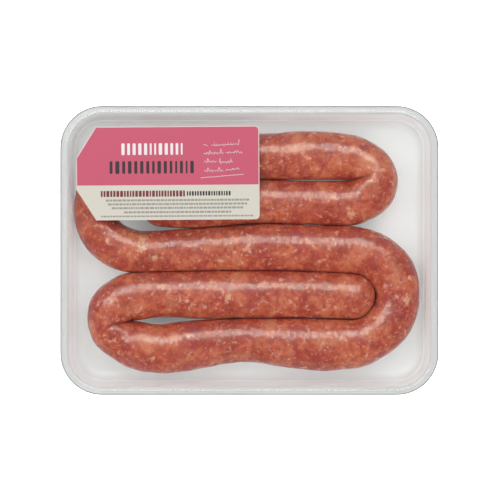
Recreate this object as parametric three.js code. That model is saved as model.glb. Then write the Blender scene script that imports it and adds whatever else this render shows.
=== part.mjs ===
// A sealed shop tray that holds one long raw sausage, folded to and fro in five runs.
// Millimetres, +Z up. The origin is the middle of the tray's foot, +X runs along the tray's
// long side, and +Y points to the long side that the label lies beside.

import * as THREE from "three";

// The tray, measured over its rim
const TRAY_LENGTH = 235;
const TRAY_WIDTH = 179.5;
const TRAY_HEIGHT = 31;
const TRAY_CORNER = 26;
const SHEET = 1; // thickness of the formed plastic sheet
const FLANGE_WIDTH = 5.2; // flat sealing rim, seen from above
const LIP_DROP = 2.4; // turned-down edge of the rim
const LIP_ROUND = 1.4; // the rim's outer edge, a bead that the film stops short of
const WALL_DRAFT = THREE.MathUtils.degToRad(5.5);
const FLOOR_ROUND = 7; // inside radius where the wall meets the floor
const SHOULDER_ROUND = 1.2; // inside radius where the wall meets the rim
const CORNER_STEPS = 9;

// The clear lidding film and the label stuck on it
const FILM_THICKNESS = 0.25;
const FILM_INSET = 1.6; // from the rim's outer edge
const LABEL_THICKNESS = 0.25;
const LABEL_LENGTH = 113.8;
const LABEL_WIDTH = 58.1;
const LABEL_CENTRE = [-50.7, 48];
const LABEL_TILT = THREE.MathUtils.degToRad(0.4);
const LABEL_ROUND = 2.8; // at its two square corners
const LABEL_CUT = [12.3, 19.3]; // its two cut corners, along X and Y

// The sausage. Its section is wider than high, flatter below than above.
const MEAN_WIDTH = 28.7;
const MEAN_HEIGHT = 26.6;
const HEIGHT_FOLLOWS_WIDTH = 0.6; // power by which a thick place is also higher
const ROUNDNESS_ABOVE = 2.1; // exponent of the section's curve, 2 for an ellipse
const ROUNDNESS_BELOW = 2.9;
const FLOOR_GAP = 0.3;
const PRESSED_GAP = 0.4; // left between two runs that press on each other
const INNER_GAP = 0.6; // left inside the tightest bends
const END_ROUND = 2.2; // exponent of the domed ends
const END_STEPS = 5;
const SECTION_SIDES = 20;
const RUN_STEP = 7; // most between two sections
const BEND_STEP = THREE.MathUtils.degToRad(10); // most turn between two sections
const OWN_REACH = 32; // how far along itself the sausage doesn't press on itself
const HALVINGS = 16; // steps of the search for where two runs meet

// The route, from the end that shows to the end under the label: runs and bends in turn. A run
// lists [x, y, width]. A bend turns about its centre from one angle to another, in degrees, and
// lists [distance from the centre, width] at even steps of that turn.
const ROUTE = [
  {
    run: [
      [64.2, -28.6, 29.2], [31.5, -27.5, 29.6], [0, -27.5, 29.5], [-30.8, -27.8, 29.3], [-56, -27.1, 27.2],
    ],
  },
  {
    centre: [-72.5, -44],
    turn: [90, 270],
    bend: [[15.8, 29.3], [15, 28.6], [15.2, 29.4], [14.8, 28], [14.4, 27.2], [13.8, 26.2], [15.2, 29.4]],
  },
  {
    run: [
      [-64, -60.8, 30.4], [-54, -61.6, 30.4], [-43.2, -60.6, 30.8], [-30.8, -58.7, 29.8],
      [-15.2, -56.6, 27.4], [0.4, -55.8, 26.8], [16, -56.9, 29.1], [31.5, -58.1, 31.5], [47, -58.8, 32.1],
    ],
  },
  {
    centre: [61.4, -29],
    turn: [-90, 90],
    bend: [[29.5, 31], [28.9, 28.2], [29.4, 27.8], [30.8, 26.8], [31.1, 28.3], [29.9, 29.5], [29.4, 29.6]],
  },
  {
    run: [
      [43, 0.9, 29.2], [19, 1.8, 29.3], [-2, 1.8, 29], [-18, 1.1, 27.4], [-31, 0.4, 27], [-48, -0.5, 25.6],
    ],
  },
  {
    centre: [-66.3, 30.1],
    turn: [270, 90],
    bend: [[31.2, 24.8], [32, 26.2], [32, 26], [30, 26.4], [28, 26.4], [28.6, 27.2], [29.5, 27.6]],
  },
  {
    run: [[-31, 59.5, 27.6], [6.6, 58.8, 27.9], [31.5, 59.4, 29.9], [47, 59.2, 29.4]],
  },
  {
    centre: [62.7, 43.9],
    turn: [90, -90],
    bend: [[14.3, 27.4], [13.6, 26.4], [14.3, 28], [15.2, 28.8], [14.3, 27.8], [13.4, 25.8], [14.2, 27.6]],
  },
  {
    run: [
      [46, 29.4, 26.8], [31.5, 29.9, 26.8], [6.6, 30.2, 27], [-18, 28.6, 27], [-37, 27.3, 27.2],
      [-54.4, 28, 27],
    ],
  },
];

/** One closed surface through rings of equal count. Each end closes on its own middle point. */
function closedLoft(rings, startTip, endTip) {
  const count = rings[0].length;
  const points = [startTip, ...rings.flat(), endTip];
  const at = (ring, k) => 1 + ring * count + (k % count);
  const faces = [];
  for (let k = 0; k < count; k++) {
    faces.push(0, at(0, k + 1), at(0, k));
    for (let r = 0; r + 1 < rings.length; r++) {
      faces.push(at(r, k), at(r, k + 1), at(r + 1, k + 1));
      faces.push(at(r, k), at(r + 1, k + 1), at(r + 1, k));
    }
    faces.push(points.length - 1, at(rings.length - 1, k), at(rings.length - 1, k + 1));
  }
  const geometry = new THREE.BufferGeometry().setFromPoints(points);
  geometry.setIndex(faces);
  geometry.computeVertexNormals();
  return geometry;
}

/** A rectangle's outline with rounded corners, as a shape centred on the origin. */
function roundedRectangle(length, width, radius) {
  const [x, y] = [length / 2, width / 2];
  const shape = new THREE.Shape();
  shape.moveTo(x, y - radius);
  shape.absarc(x - radius, y - radius, radius, 0, Math.PI / 2);
  shape.absarc(radius - x, y - radius, radius, Math.PI / 2, Math.PI);
  shape.absarc(radius - x, radius - y, radius, Math.PI, 1.5 * Math.PI);
  shape.absarc(x - radius, radius - y, radius, 1.5 * Math.PI, 2 * Math.PI);
  return shape;
}

/** The ring of points that lies a given way in from the tray's outline, at height z. */
function trayRing({ inset, z }) {
  const radius = Math.max(TRAY_CORNER - inset, 2);
  const shape = roundedRectangle(TRAY_LENGTH - 2 * inset, TRAY_WIDTH - 2 * inset, radius);
  const ring = shape.getPoints(CORNER_STEPS).map((p) => new THREE.Vector3(p.x, p.y, z));
  return ring.filter((p, k) => p.distanceTo(ring[(k + 1) % ring.length]) > 1e-4);
}

/** An arc of the tray's section. Angle 0 points out of the tray and 90 degrees points up. */
function sectionArc(inset, z, radius, from, to, steps) {
  return Array.from({ length: steps + 1 }, (_, k) => {
    const angle = THREE.MathUtils.degToRad(THREE.MathUtils.lerp(from, to, k / steps));
    return { inset: inset - radius * Math.cos(angle), z: z + radius * Math.sin(angle) };
  });
}

/** The tray: foot, sloping walls, turned-down rim and floor, as one sheet of even thickness. */
function trayGeometry() {
  const draft = THREE.MathUtils.radToDeg(WALL_DRAFT);
  const underRim = TRAY_HEIGHT - SHEET;
  const lipUnder = TRAY_HEIGHT - LIP_DROP;
  const floorRoundZ = SHEET + FLOOR_ROUND;
  const floorRoundInset =
    FLANGE_WIDTH + (TRAY_HEIGHT - floorRoundZ) * Math.tan(WALL_DRAFT) + FLOOR_ROUND / Math.cos(WALL_DRAFT);
  const shoulderInset = FLANGE_WIDTH - SHOULDER_ROUND;
  const shoulderZ = TRAY_HEIGHT - SHOULDER_ROUND;
  const profile = [
    ...sectionArc(floorRoundInset, floorRoundZ, FLOOR_ROUND + SHEET, -90, -draft, 4),
    { inset: FLANGE_WIDTH - SHEET, z: underRim },
    { inset: SHEET, z: underRim },
    { inset: SHEET, z: lipUnder },
    { inset: 0, z: lipUnder },
    ...sectionArc(LIP_ROUND, TRAY_HEIGHT - LIP_ROUND, LIP_ROUND, 0, 90, 3),
    ...sectionArc(shoulderInset, shoulderZ, SHOULDER_ROUND, 90, 180 - draft, 3),
    ...sectionArc(floorRoundInset, floorRoundZ, FLOOR_ROUND, -draft, -90, 4),
  ];
  const floorMiddle = new THREE.Vector3(0, 0, SHEET);
  return closedLoft(profile.map(trayRing), new THREE.Vector3(0, 0, 0), floorMiddle);
}

/** A section of the sausage: its place, its way ahead, its width and the room at either side. */
function sectionAt(place, way, width, roomLeft = Infinity, roomRight = Infinity) {
  const height = MEAN_HEIGHT * (width / MEAN_WIDTH) ** HEIGHT_FOLLOWS_WIDTH;
  return {
    place,
    way,
    left: new THREE.Vector2(-way.y, way.x),
    half: { across: width / 2, up: height / 2 },
    middle: SHEET + FLOOR_GAP + height / 2,
    roomLeft,
    roomRight,
  };
}

/** The sections of a bend. All of them point at its centre and none reaches past it. */
function bendSections({ centre, turn, bend }) {
  const [from, to] = turn.map(THREE.MathUtils.degToRad);
  const spline = new THREE.SplineCurve(bend.map(([distance, width]) => new THREE.Vector2(distance, width)));
  const steps = Math.round(Math.abs(to - from) / BEND_STEP);
  const sense = Math.sign(to - from); // 1 where it turns left
  return Array.from({ length: steps + 1 }, (_, k) => {
    const { x: distance, y: width } = spline.getPoint(k / steps);
    const angle = THREE.MathUtils.lerp(from, to, k / steps);
    const out = new THREE.Vector2(Math.cos(angle), Math.sin(angle));
    const place = new THREE.Vector2(...centre).addScaledVector(out, distance);
    const way = new THREE.Vector2(-out.y * sense, out.x * sense);
    const room = distance - INNER_GAP;
    return sense > 0 ? sectionAt(place, way, width, room) : sectionAt(place, way, width, Infinity, room);
  });
}

/** The sections of a run, without the ones that it shares with the bends at its ends. */
function runSections({ run }, bendBefore, bendAfter) {
  const shared = (section) => [section.place.x, section.place.y, 2 * section.half.across];
  const points = [...run];
  if (bendBefore) points.unshift(shared(bendBefore[bendBefore.length - 1]));
  if (bendAfter) points.push(shared(bendAfter[0]));
  const curve = new THREE.CatmullRomCurve3(points.map((point) => new THREE.Vector3(...point)));
  const steps = Math.ceil(curve.getLength() / RUN_STEP);
  const sections = Array.from({ length: steps + 1 }, (_, k) => {
    const { x, y, z: width } = curve.getPointAt(k / steps);
    const tangent = curve.getTangentAt(k / steps);
    return sectionAt(new THREE.Vector2(x, y), new THREE.Vector2(tangent.x, tangent.y).normalize(), width);
  });
  return sections.slice(bendBefore ? 1 : 0, bendAfter ? -1 : undefined);
}

/** All sections along the route, each with how far along the sausage it lies. */
function sectionsAlongRoute() {
  const bends = ROUTE.map((part) => (part.bend ? bendSections(part) : null));
  const sections = ROUTE.flatMap((part, k) => bends[k] ?? runSections(part, bends[k - 1], bends[k + 1]));
  sections.forEach((section, k) => {
    const before = sections[k - 1];
    section.along = before ? before.along + section.place.distanceTo(before.place) : 0;
  });
  return sections;
}

/** A point of the section's curve at an angle, in half widths and half heights. */
function sectionPoint(angle) {
  const power = 2 / (Math.sin(angle) > 0 ? ROUNDNESS_ABOVE : ROUNDNESS_BELOW);
  const rounded = (value) => Math.sign(value) * Math.abs(value) ** power;
  return [rounded(Math.cos(angle)), rounded(Math.sin(angle))];
}

/** How far a point lies from the stretch between two sections, in their own half sizes. */
function nearness(point, [a, b]) {
  const line = b.place.clone().sub(a.place);
  const from = new THREE.Vector2(point.x, point.y).sub(a.place);
  const share = THREE.MathUtils.clamp(from.dot(line) / line.lengthSq(), 0, 1);
  const aside = from.sub(line.multiplyScalar(share)).length();
  const across = THREE.MathUtils.lerp(a.half.across, b.half.across, share);
  return Math.hypot(aside / across, (point.z - a.middle) / a.half.up);
}

/** A point of the skin, ahead of, left of and above a section's middle. It is pulled back
 * towards that middle where another run presses on it. */
function skinPoint(section, others, ahead, aside, up) {
  const { place, way, left, half, middle } = section;
  const pointAt = (share) => {
    const flat = place.clone().addScaledVector(way, ahead * share).addScaledVector(left, aside * share);
    return new THREE.Vector3(flat.x, flat.y, middle + up * share);
  };
  const own = Math.hypot(ahead / half.across, aside / half.across, up / half.up);
  const margin = PRESSED_GAP / 2 / half.across;
  const isClear = (share) =>
    others.every((stretch) => nearness(pointAt(share), stretch) >= share * own + margin);
  if (isClear(1)) return pointAt(1);
  let [clear, pressed] = [0, 1];
  for (let halving = 0; halving < HALVINGS; halving++) {
    const share = (clear + pressed) / 2;
    if (isClear(share)) clear = share;
    else pressed = share;
  }
  return pointAt(clear);
}

/** The stretches between sections that are too far along the sausage to be a section's own. */
function otherStretches(section, sections) {
  return sections.slice(1).map((b, k) => [sections[k], b])
    .filter((ends) => ends.every((end) => Math.abs(end.along - section.along) > OWN_REACH));
}

/** The ring of skin points round a section, or a smaller one ahead of it. */
function skinRing(section, others, scale = 1, ahead = 0) {
  return Array.from({ length: SECTION_SIDES }, (_, k) => {
    const [u, v] = sectionPoint((2 * Math.PI * k) / SECTION_SIDES);
    const room = u > 0 ? section.roomLeft : section.roomRight;
    const aside = u * Math.min(section.half.across, room) * scale;
    return skinPoint(section, others, ahead, aside, v * section.half.up * scale);
  });
}

/** The rings of a domed end, from the section outwards, and its tip. sense is 1 or -1. */
function domedEnd(section, others, sense) {
  const reach = sense * section.half.across;
  const rings = Array.from({ length: END_STEPS }, (_, k) => {
    const share = Math.sin(((k + 1) / (END_STEPS + 1)) * (Math.PI / 2));
    const scale = (1 - share ** END_ROUND) ** (1 / END_ROUND);
    return skinRing(section, others, scale, reach * share);
  });
  return { rings, tip: skinPoint(section, others, reach, 0, 0) };
}

/** The whole sausage: a domed end, the run of sections, and the other domed end. */
function sausageGeometry() {
  const sections = sectionsAlongRoute();
  const [first, last] = [sections[0], sections[sections.length - 1]];
  const start = domedEnd(first, otherStretches(first, sections), -1);
  const end = domedEnd(last, otherStretches(last, sections), 1);
  const body = sections.map((section) => skinRing(section, otherStretches(section, sections)));
  return closedLoft([...start.rings.reverse(), ...body, ...end.rings], start.tip, end.tip);
}

/** The clear film, cut a little smaller than the rim. */
function filmGeometry() {
  const outline = roundedRectangle(
    TRAY_LENGTH - 2 * FILM_INSET,
    TRAY_WIDTH - 2 * FILM_INSET,
    TRAY_CORNER - FILM_INSET,
  );
  return new THREE.ExtrudeGeometry(outline, {
    depth: FILM_THICKNESS,
    bevelEnabled: false,
    curveSegments: CORNER_STEPS,
  });
}

/** The label: a plate with two corners cut off at its left and two rounded at its right. */
function labelGeometry() {
  const [x, y] = [LABEL_LENGTH / 2, LABEL_WIDTH / 2];
  const [cutX, cutY] = LABEL_CUT;
  const shape = new THREE.Shape();
  shape.moveTo(x, LABEL_ROUND - y);
  shape.absarc(x - LABEL_ROUND, y - LABEL_ROUND, LABEL_ROUND, 0, Math.PI / 2);
  shape.lineTo(cutX - x, y);
  shape.lineTo(-x, y - cutY);
  shape.lineTo(-x, cutY - y);
  shape.lineTo(cutX - x, -y);
  shape.absarc(x - LABEL_ROUND, LABEL_ROUND - y, LABEL_ROUND, 1.5 * Math.PI, 2 * Math.PI);
  return new THREE.ExtrudeGeometry(shape, {
    depth: LABEL_THICKNESS,
    bevelEnabled: false,
    curveSegments: 5,
  });
}

/** A named mesh with its own finish. */
function piece(name, geometry, colour, roughness, extra = {}) {
  const material = new THREE.MeshStandardMaterial({ color: colour, roughness, metalness: 0, ...extra });
  const mesh = new THREE.Mesh(geometry, material);
  mesh.name = name;
  return mesh;
}

const pack = new THREE.Group();

pack.add(piece("tray", trayGeometry(), 0xdcdcda, 0.4));

pack.add(piece("sausage", sausageGeometry(), 0xb45e4a, 0.45));

const film = piece("film", filmGeometry(), 0xf4f6f6, 0.08, { transparent: true, opacity: 0.15 });
film.position.z = TRAY_HEIGHT;
pack.add(film);

const label = piece("label", labelGeometry(), 0xcf657c, 0.5);
label.position.set(...LABEL_CENTRE, TRAY_HEIGHT + FILM_THICKNESS);
label.rotation.z = LABEL_TILT;
pack.add(label);

export default pack;
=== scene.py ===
"""A long raw sausage, folded to and fro in a white tray under clear film, with a tag-shaped label.

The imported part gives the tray, the sausage, the film and the label as plain solids in one frame.
This script builds the finished look of each of them in the same place: a smooth formed tray, a
sausage whose skin is pressed flat where its runs touch, a rippled lidding film and a printed label.
Lengths are in metres, and millimetres are written as a number times MM.
"""

from __future__ import annotations

import logging
import math
from dataclasses import dataclass
from enum import Enum

import bpy
import numpy as np
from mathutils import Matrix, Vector

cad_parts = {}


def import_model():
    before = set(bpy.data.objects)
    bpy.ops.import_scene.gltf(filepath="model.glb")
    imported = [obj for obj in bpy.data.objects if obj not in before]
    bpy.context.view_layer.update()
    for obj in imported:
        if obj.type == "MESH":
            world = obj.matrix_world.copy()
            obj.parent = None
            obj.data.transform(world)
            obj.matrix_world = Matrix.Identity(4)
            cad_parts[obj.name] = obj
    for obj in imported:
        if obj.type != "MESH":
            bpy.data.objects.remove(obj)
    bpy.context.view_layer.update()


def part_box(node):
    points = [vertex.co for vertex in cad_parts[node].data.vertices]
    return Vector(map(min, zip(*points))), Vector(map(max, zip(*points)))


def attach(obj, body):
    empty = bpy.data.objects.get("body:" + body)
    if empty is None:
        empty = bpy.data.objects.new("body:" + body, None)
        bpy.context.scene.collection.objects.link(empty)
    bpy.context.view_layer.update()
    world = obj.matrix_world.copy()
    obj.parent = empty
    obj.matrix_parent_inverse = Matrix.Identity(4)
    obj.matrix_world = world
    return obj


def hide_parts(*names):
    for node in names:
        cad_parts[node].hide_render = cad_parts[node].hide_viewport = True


LOG = logging.getLogger("sausage_tray")
MM = 0.001
BODY = "root"

# Names of the attributes that the meshes hand to their materials
# How far the tray's sheet is painted towards a grey, as painted shade
PAINTED_SHADE = "painted_shade_amount"
CASING = "along_aside_rise"
FAT = "fat_patch"
# How dark the sausage is painted in its creases and folds, as painted shade
CREASE_SHADE = "painted_crease_shade"
LEAN = "lean_patch"


def linear(colour: str) -> tuple[float, float, float, float]:
    """Turns an sRGB hex colour into the linear RGBA that Blender's sockets hold.

    Args:
        colour: the colour as six hex digits, such as "b45e4a".

    Returns:
        Red, green, blue and an alpha of 1.
    """
    values = [int(colour[k : k + 2], 16) / 255 for k in (0, 2, 4)]
    return (*(v / 12.92 if v <= 0.04045 else ((v + 0.055) / 1.055) ** 2.4 for v in values), 1.0)


def add_node(
    tree: bpy.types.NodeTree, kind: str, links: dict[str | int, object] | None = None, **settings: object
) -> bpy.types.Node:
    """Adds a node, sets its properties and inputs, and links its inputs.

    Args:
        tree: the node tree that gets the node.
        kind: the node's type name, such as "ShaderNodeMix".
        links: for an input's name or number, the output socket that feeds it or a plain value.
        **settings: the node's own properties, such as operation or data_type.

    Returns:
        The new node.
    """
    node = tree.nodes.new(kind)
    for name, value in settings.items():
        setattr(node, name, value)
    for name, value in (links or {}).items():
        socket = node.inputs[name]
        if isinstance(value, bpy.types.NodeSocket):
            tree.links.new(value, socket)
        else:
            socket.default_value = value
    return node


def fill_ramp(node: bpy.types.Node, stops: list[tuple[float, str]]) -> None:
    """Sets a colour ramp's stops.

    Args:
        node: the ramp node.
        stops: position and sRGB hex colour of each stop, in rising order.
    """
    elements = node.color_ramp.elements
    while len(elements) > 1:
        elements.remove(elements[-1])
    elements[0].position = stops[0][0]
    elements[0].color = linear(stops[0][1])
    for position, colour in stops[1:]:
        elements.new(position).color = linear(colour)


def mesh_object(
    name: str, points: np.ndarray, faces: list[tuple[int, ...]], smooth: bool = True
) -> bpy.types.Object:
    """Makes a mesh object in the scene.

    Args:
        name: the object's name.
        points: the vertices, one row each.
        faces: the faces, each a row of vertex numbers.
        smooth: whether its faces are shaded smooth.

    Returns:
        The new object.
    """
    mesh = bpy.data.meshes.new(name)
    mesh.from_pydata(points.tolist(), [], [list(map(int, face)) for face in faces])
    mesh.validate()
    mesh.polygons.foreach_set("use_smooth", [smooth] * len(mesh.polygons))
    made = bpy.data.objects.new(name, mesh)
    bpy.context.scene.collection.objects.link(made)
    return made


def closed_loft(name: str, rings: np.ndarray, start: np.ndarray, end: np.ndarray) -> bpy.types.Object:
    """Skins a row of rings and closes each end on a middle point.

    Args:
        name: the object's name.
        rings: the rings' points, as rings by points by three.
        start: the point that closes the first ring.
        end: the point that closes the last ring.

    Returns:
        The closed mesh object.
    """
    count, sides = rings.shape[:2]
    k = np.arange(sides)
    after = (k + 1) % sides
    faces = [(0, 1 + b, 1 + a) for a, b in zip(k, after)]
    for ring in range(count - 1):
        low, high = 1 + ring * sides, 1 + (ring + 1) * sides
        faces += [(low + a, low + b, high + b, high + a) for a, b in zip(k, after)]
    last = 1 + (count - 1) * sides
    faces += [(1 + count * sides, last + a, last + b) for a, b in zip(k, after)]
    points = np.vstack([start, rings.reshape(-1, 3), end])
    return mesh_object(name, points, faces)


def write_attribute(made: bpy.types.Object, name: str, values: np.ndarray) -> None:
    """Stores a number, or a row of three, for each vertex.

    Args:
        made: the object.
        name: the attribute's name.
        values: the numbers, in the vertices' order.
    """
    kind, field = ("FLOAT_VECTOR", "vector") if values.ndim == 2 else ("FLOAT", "value")
    made.data.attributes.new(name, kind, "POINT").data.foreach_set(field, values.astype(float).ravel())


def baked(made: bpy.types.Object) -> bpy.types.Object:
    """Turns an object with a Geometry Nodes modifier into one with the plain mesh that it makes.

    Args:
        made: the object with the modifier.

    Returns:
        The same object, with the evaluated mesh and no modifier.
    """
    graph = bpy.context.evaluated_depsgraph_get()
    mesh = bpy.data.meshes.new_from_object(made.evaluated_get(graph))
    old = made.data
    made.modifiers.clear()
    made.data = mesh
    bpy.data.meshes.remove(old)
    mesh.name = made.name
    return made


def with_tree(
    made: bpy.types.Object, tree: bpy.types.NodeTree, values: dict[str, object]
) -> bpy.types.Object:
    """Adds a Geometry Nodes modifier, sets its named inputs and bakes the result.

    Args:
        made: the object that carries the modifier.
        tree: the geometry node tree.
        values: the value of each named input.

    Returns:
        The same object with the result as its mesh.
    """
    modifier = made.modifiers.new(tree.name, "NODES")
    modifier.node_group = tree
    for item in tree.interface.items_tree:
        if item.name in values:
            modifier[item.identifier] = values[item.name]
    return baked(made)


def geometry_tree(
    name: str, inputs: dict[str, tuple[str, object]]
) -> tuple[bpy.types.NodeTree, bpy.types.Node, bpy.types.Node]:
    """Starts a geometry node tree with named inputs.

    Args:
        name: the tree's name.
        inputs: for each input's name, its socket type and default value.

    Returns:
        The tree, its input node and its output node.
    """
    tree = bpy.data.node_groups.new(name, "GeometryNodeTree")
    tree.interface.new_socket("Geometry", in_out="INPUT", socket_type="NodeSocketGeometry")
    tree.interface.new_socket("Geometry", in_out="OUTPUT", socket_type="NodeSocketGeometry")
    for label, (kind, value) in inputs.items():
        socket = tree.interface.new_socket(label, in_out="INPUT", socket_type=kind)
        if value is not None:
            socket.default_value = value
    return tree, tree.nodes.new("NodeGroupInput"), tree.nodes.new("NodeGroupOutput")


def end_tree(
    tree: bpy.types.NodeTree, given: bpy.types.Node, output: bpy.types.Node, result: bpy.types.NodeSocket
) -> None:
    """Ends a geometry node tree: makes its instances real and gives them the material.

    Args:
        tree: the tree.
        given: its input node, one of whose inputs is the material.
        output: its output node.
        result: the geometry made so far.
    """
    real = add_node(tree, "GeometryNodeRealizeInstances", {"Geometry": result})
    dressed = add_node(
        tree,
        "GeometryNodeSetMaterial",
        {"Geometry": real.outputs[0], "Material": given.outputs["Material"]},
    )
    tree.links.new(dressed.outputs[0], output.inputs["Geometry"])


def joined(name: str, pieces: list[bpy.types.Object]) -> bpy.types.Object:
    """Joins objects into one.

    Args:
        name: the name of the joined object.
        pieces: the objects, all of which are used up.

    Returns:
        The joined object.
    """
    with bpy.context.temp_override(active_object=pieces[0], selected_editable_objects=pieces):
        bpy.ops.object.join()
    pieces[0].name = pieces[0].data.name = name
    return pieces[0]


def settle(made: bpy.types.Object, material: bpy.types.Material, slot: str, *nodes: str) -> None:
    """Gives a finished piece its material and body, and reports it.

    Args:
        made: the finished piece.
        material: its material.
        slot: a material slot's name; not used.
        *nodes: the frame's nodes that it stands for.
    """
    made.data.materials.clear()
    made.data.materials.append(material)
    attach(made, BODY)
    if nodes:
        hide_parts(*nodes)
    LOG.info("%s: %d faces", made.name, len(made.data.polygons))


def start_material(
    name: str, values: dict[str, object]
) -> tuple[bpy.types.Material, bpy.types.NodeTree, bpy.types.Node]:
    """Starts a material and sets what is the same all over its surface.

    Args:
        name: the material's name.
        values: the values of the shader's sockets that nothing feeds.

    Returns:
        The material, its node tree and its Principled shader.
    """
    made = bpy.data.materials.new(name)
    made.use_nodes = True
    shader = made.node_tree.nodes["Principled BSDF"]
    for socket, value in values.items():
        shader.inputs[socket].default_value = value
    return made, made.node_tree, shader


@dataclass(frozen=True)
class FormedPolypropylene:
    """White polypropylene sheet, thermoformed: milky because light soaks through it, with a soft sheen.
    Painted shade greys it
    where its mesh says: a grey line on the bead stands in for the shade at the turned-down edge, and a
    lighter grey on the rim, the floor and the outsides of the walls, which get more light than the insides
    of the walls, makes it look evenly bright."""

    pale: str = "f4f9f8"
    shade: str = "f3f5f5"
    # the grey of the painted shade
    shade_grey: str = "524542"
    roughness: float = 0.38
    ior: float = 1.49
    soak: float = 4 * MM  # how far light travels in the sheet
    cloud: float = 45 * MM  # broad places where the sheet was drawn thinner
    cloud_share: tuple[float, float] = (0.3, 0.7)  # the noise's values at the shade and at the pale
    orange_peel: float = 6 * MM  # slow waves that the forming leaves in the sheet
    peel_height: float = 0.05 * MM
    peel_strength: float = 0.25

    def material(self) -> bpy.types.Material:
        """Builds the material.

        Returns:
            The material.
        """
        made, tree, shader = start_material("tray_polypropylene", {
            "Roughness": self.roughness,
            "IOR": self.ior,
            "Subsurface Weight": 1.0,
            "Subsurface Radius": (1.0, 1.0, 1.0),
            "Subsurface Scale": self.soak,
        })
        place = add_node(tree, "ShaderNodeTexCoord").outputs["Object"]
        cloud = add_node(
            tree, "ShaderNodeTexNoise", {"Vector": place, "Scale": 1 / self.cloud, "Detail": 2.0}
        )
        tone = add_node(tree, "ShaderNodeValToRGB", {"Fac": cloud.outputs["Fac"]})
        fill_ramp(tone, list(zip(self.cloud_share, (self.shade, self.pale))))
        # Painted shade: the mesh gives how far each place goes towards the grey
        edge = add_node(tree, "ShaderNodeAttribute", attribute_name=PAINTED_SHADE).outputs["Fac"]
        colour = add_node(
            tree,
            "ShaderNodeMix",
            {"Factor": edge, 6: tone.outputs["Color"], 7: linear(self.shade_grey)},
            data_type="RGBA",
        )
        tree.links.new(colour.outputs[2], shader.inputs["Base Color"])
        wave = add_node(tree, "ShaderNodeTexNoise", {"Vector": place, "Scale": 1 / self.orange_peel})
        bump = add_node(
            tree,
            "ShaderNodeBump",
            {"Height": wave.outputs["Fac"], "Strength": self.peel_strength, "Distance": self.peel_height},
        )
        tree.links.new(bump.outputs["Normal"], shader.inputs["Normal"])
        return made


@dataclass(frozen=True)
class LiddingFilm:
    """Clear stretched polyester film: it shows only by its gloss, most of it at a low angle."""

    roughness: float = 0.07
    facing_share: float = 0.02  # of the light that each face sends back when it is seen straight on
    grazing_power: float = 5.0  # how late that share rises as the view gets lower

    def material(self) -> bpy.types.Material:
        """Builds the material: a clear sheet with a mirror's gloss, by the angle it is seen at.

        Returns:
            The material.
        """
        made, tree, shader = start_material("clear_film", {
            "Base Color": linear("ffffff"),
            "Metallic": 1.0,
            "Roughness": self.roughness,
        })
        # Layer Weight and not Fresnel, which from inside the sheet would turn each low view into a
        # black mirror. At this Blend its Facing runs from 0 seen straight on to 1 at the horizon.
        lean = add_node(tree, "ShaderNodeLayerWeight", {"Blend": 0.5})
        rise = add_node(
            tree, "ShaderNodeMath", {0: lean.outputs["Facing"], 1: self.grazing_power}, operation="POWER"
        )
        share = add_node(
            tree,
            "ShaderNodeMapRange",
            {"Value": rise.outputs[0], "To Min": self.facing_share, "To Max": 1.0},
        )
        tree.links.new(share.outputs[0], shader.inputs["Alpha"])
        return made


class Ink(Enum):
    """The printing inks and papers of the label, by sRGB colour."""

    PAPER = "e8d6d0"
    CREAM = "dcd7ca"
    PINK = "cf5672"
    WHITE = "f4eef0"
    CHARCOAL = "36262f"
    MAROON = "7e3038"
    GREY = "a39e98"
    PALE_PINK = "ecc3cf"


@dataclass(frozen=True)
class CoatedPaper:
    """Coated label paper or the ink on it, calendered: flat colour that the fibres make a little
    uneven, a weak soft shine and a faint tooth."""

    ink: Ink
    roughness: float = 0.5
    specular: float = 0.35
    fibre: float = 1.2 * MM  # clumps of fibre
    fibre_tone: float = 0.04  # how much they lighten and darken the colour
    tooth: float = 0.25 * MM
    tooth_height: float = 0.01 * MM
    tooth_strength: float = 0.15

    def material(self) -> bpy.types.Material:
        """Builds the material.

        Returns:
            The material.
        """
        made, tree, shader = start_material("label_" + self.ink.name.lower(), {
            "Roughness": self.roughness,
            "Specular IOR Level": self.specular,
        })
        place = add_node(tree, "ShaderNodeTexCoord").outputs["Object"]
        fibre = add_node(
            tree,
            "ShaderNodeTexNoise",
            {"Vector": place, "Scale": 1 / self.fibre, "Detail": 4.0, "Roughness": 0.7},
        )
        dark, light = (
            (*(min(1.0, part * share) for part in linear(self.ink.value)[:3]), 1.0)
            for share in (1 - self.fibre_tone, 1 + self.fibre_tone)
        )
        colour = add_node(
            tree, "ShaderNodeMix", {"Factor": fibre.outputs["Fac"], 6: dark, 7: light}, data_type="RGBA"
        )
        tree.links.new(colour.outputs[2], shader.inputs["Base Color"])
        grain = add_node(tree, "ShaderNodeTexNoise", {"Vector": place, "Scale": 1 / self.tooth})
        bump = add_node(
            tree,
            "ShaderNodeBump",
            {"Height": grain.outputs["Fac"], "Strength": self.tooth_strength, "Distance": self.tooth_height},
        )
        tree.links.new(bump.outputs["Normal"], shader.inputs["Normal"])
        return made


@dataclass(frozen=True)
class Grain:
    """A noise in the mince or its casing, by the size of its marks."""

    size: float
    detail: float  # how many finer layers it has
    seed: float
    warp: float = 0.0
    roughness: float = 0.55  # how strongly the finer layers show

    def inputs(self, place: bpy.types.NodeSocket) -> dict[str | int, object]:
        """The inputs of its noise node.

        Args:
            place: where the noise is read.

        Returns:
            For each input's name, what feeds it or its value.
        """
        return {
            "Vector": place,
            "W": self.seed,
            "Scale": 1 / self.size,
            "Detail": self.detail,
            "Roughness": self.roughness,
            "Distortion": self.warp,
        }


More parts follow.
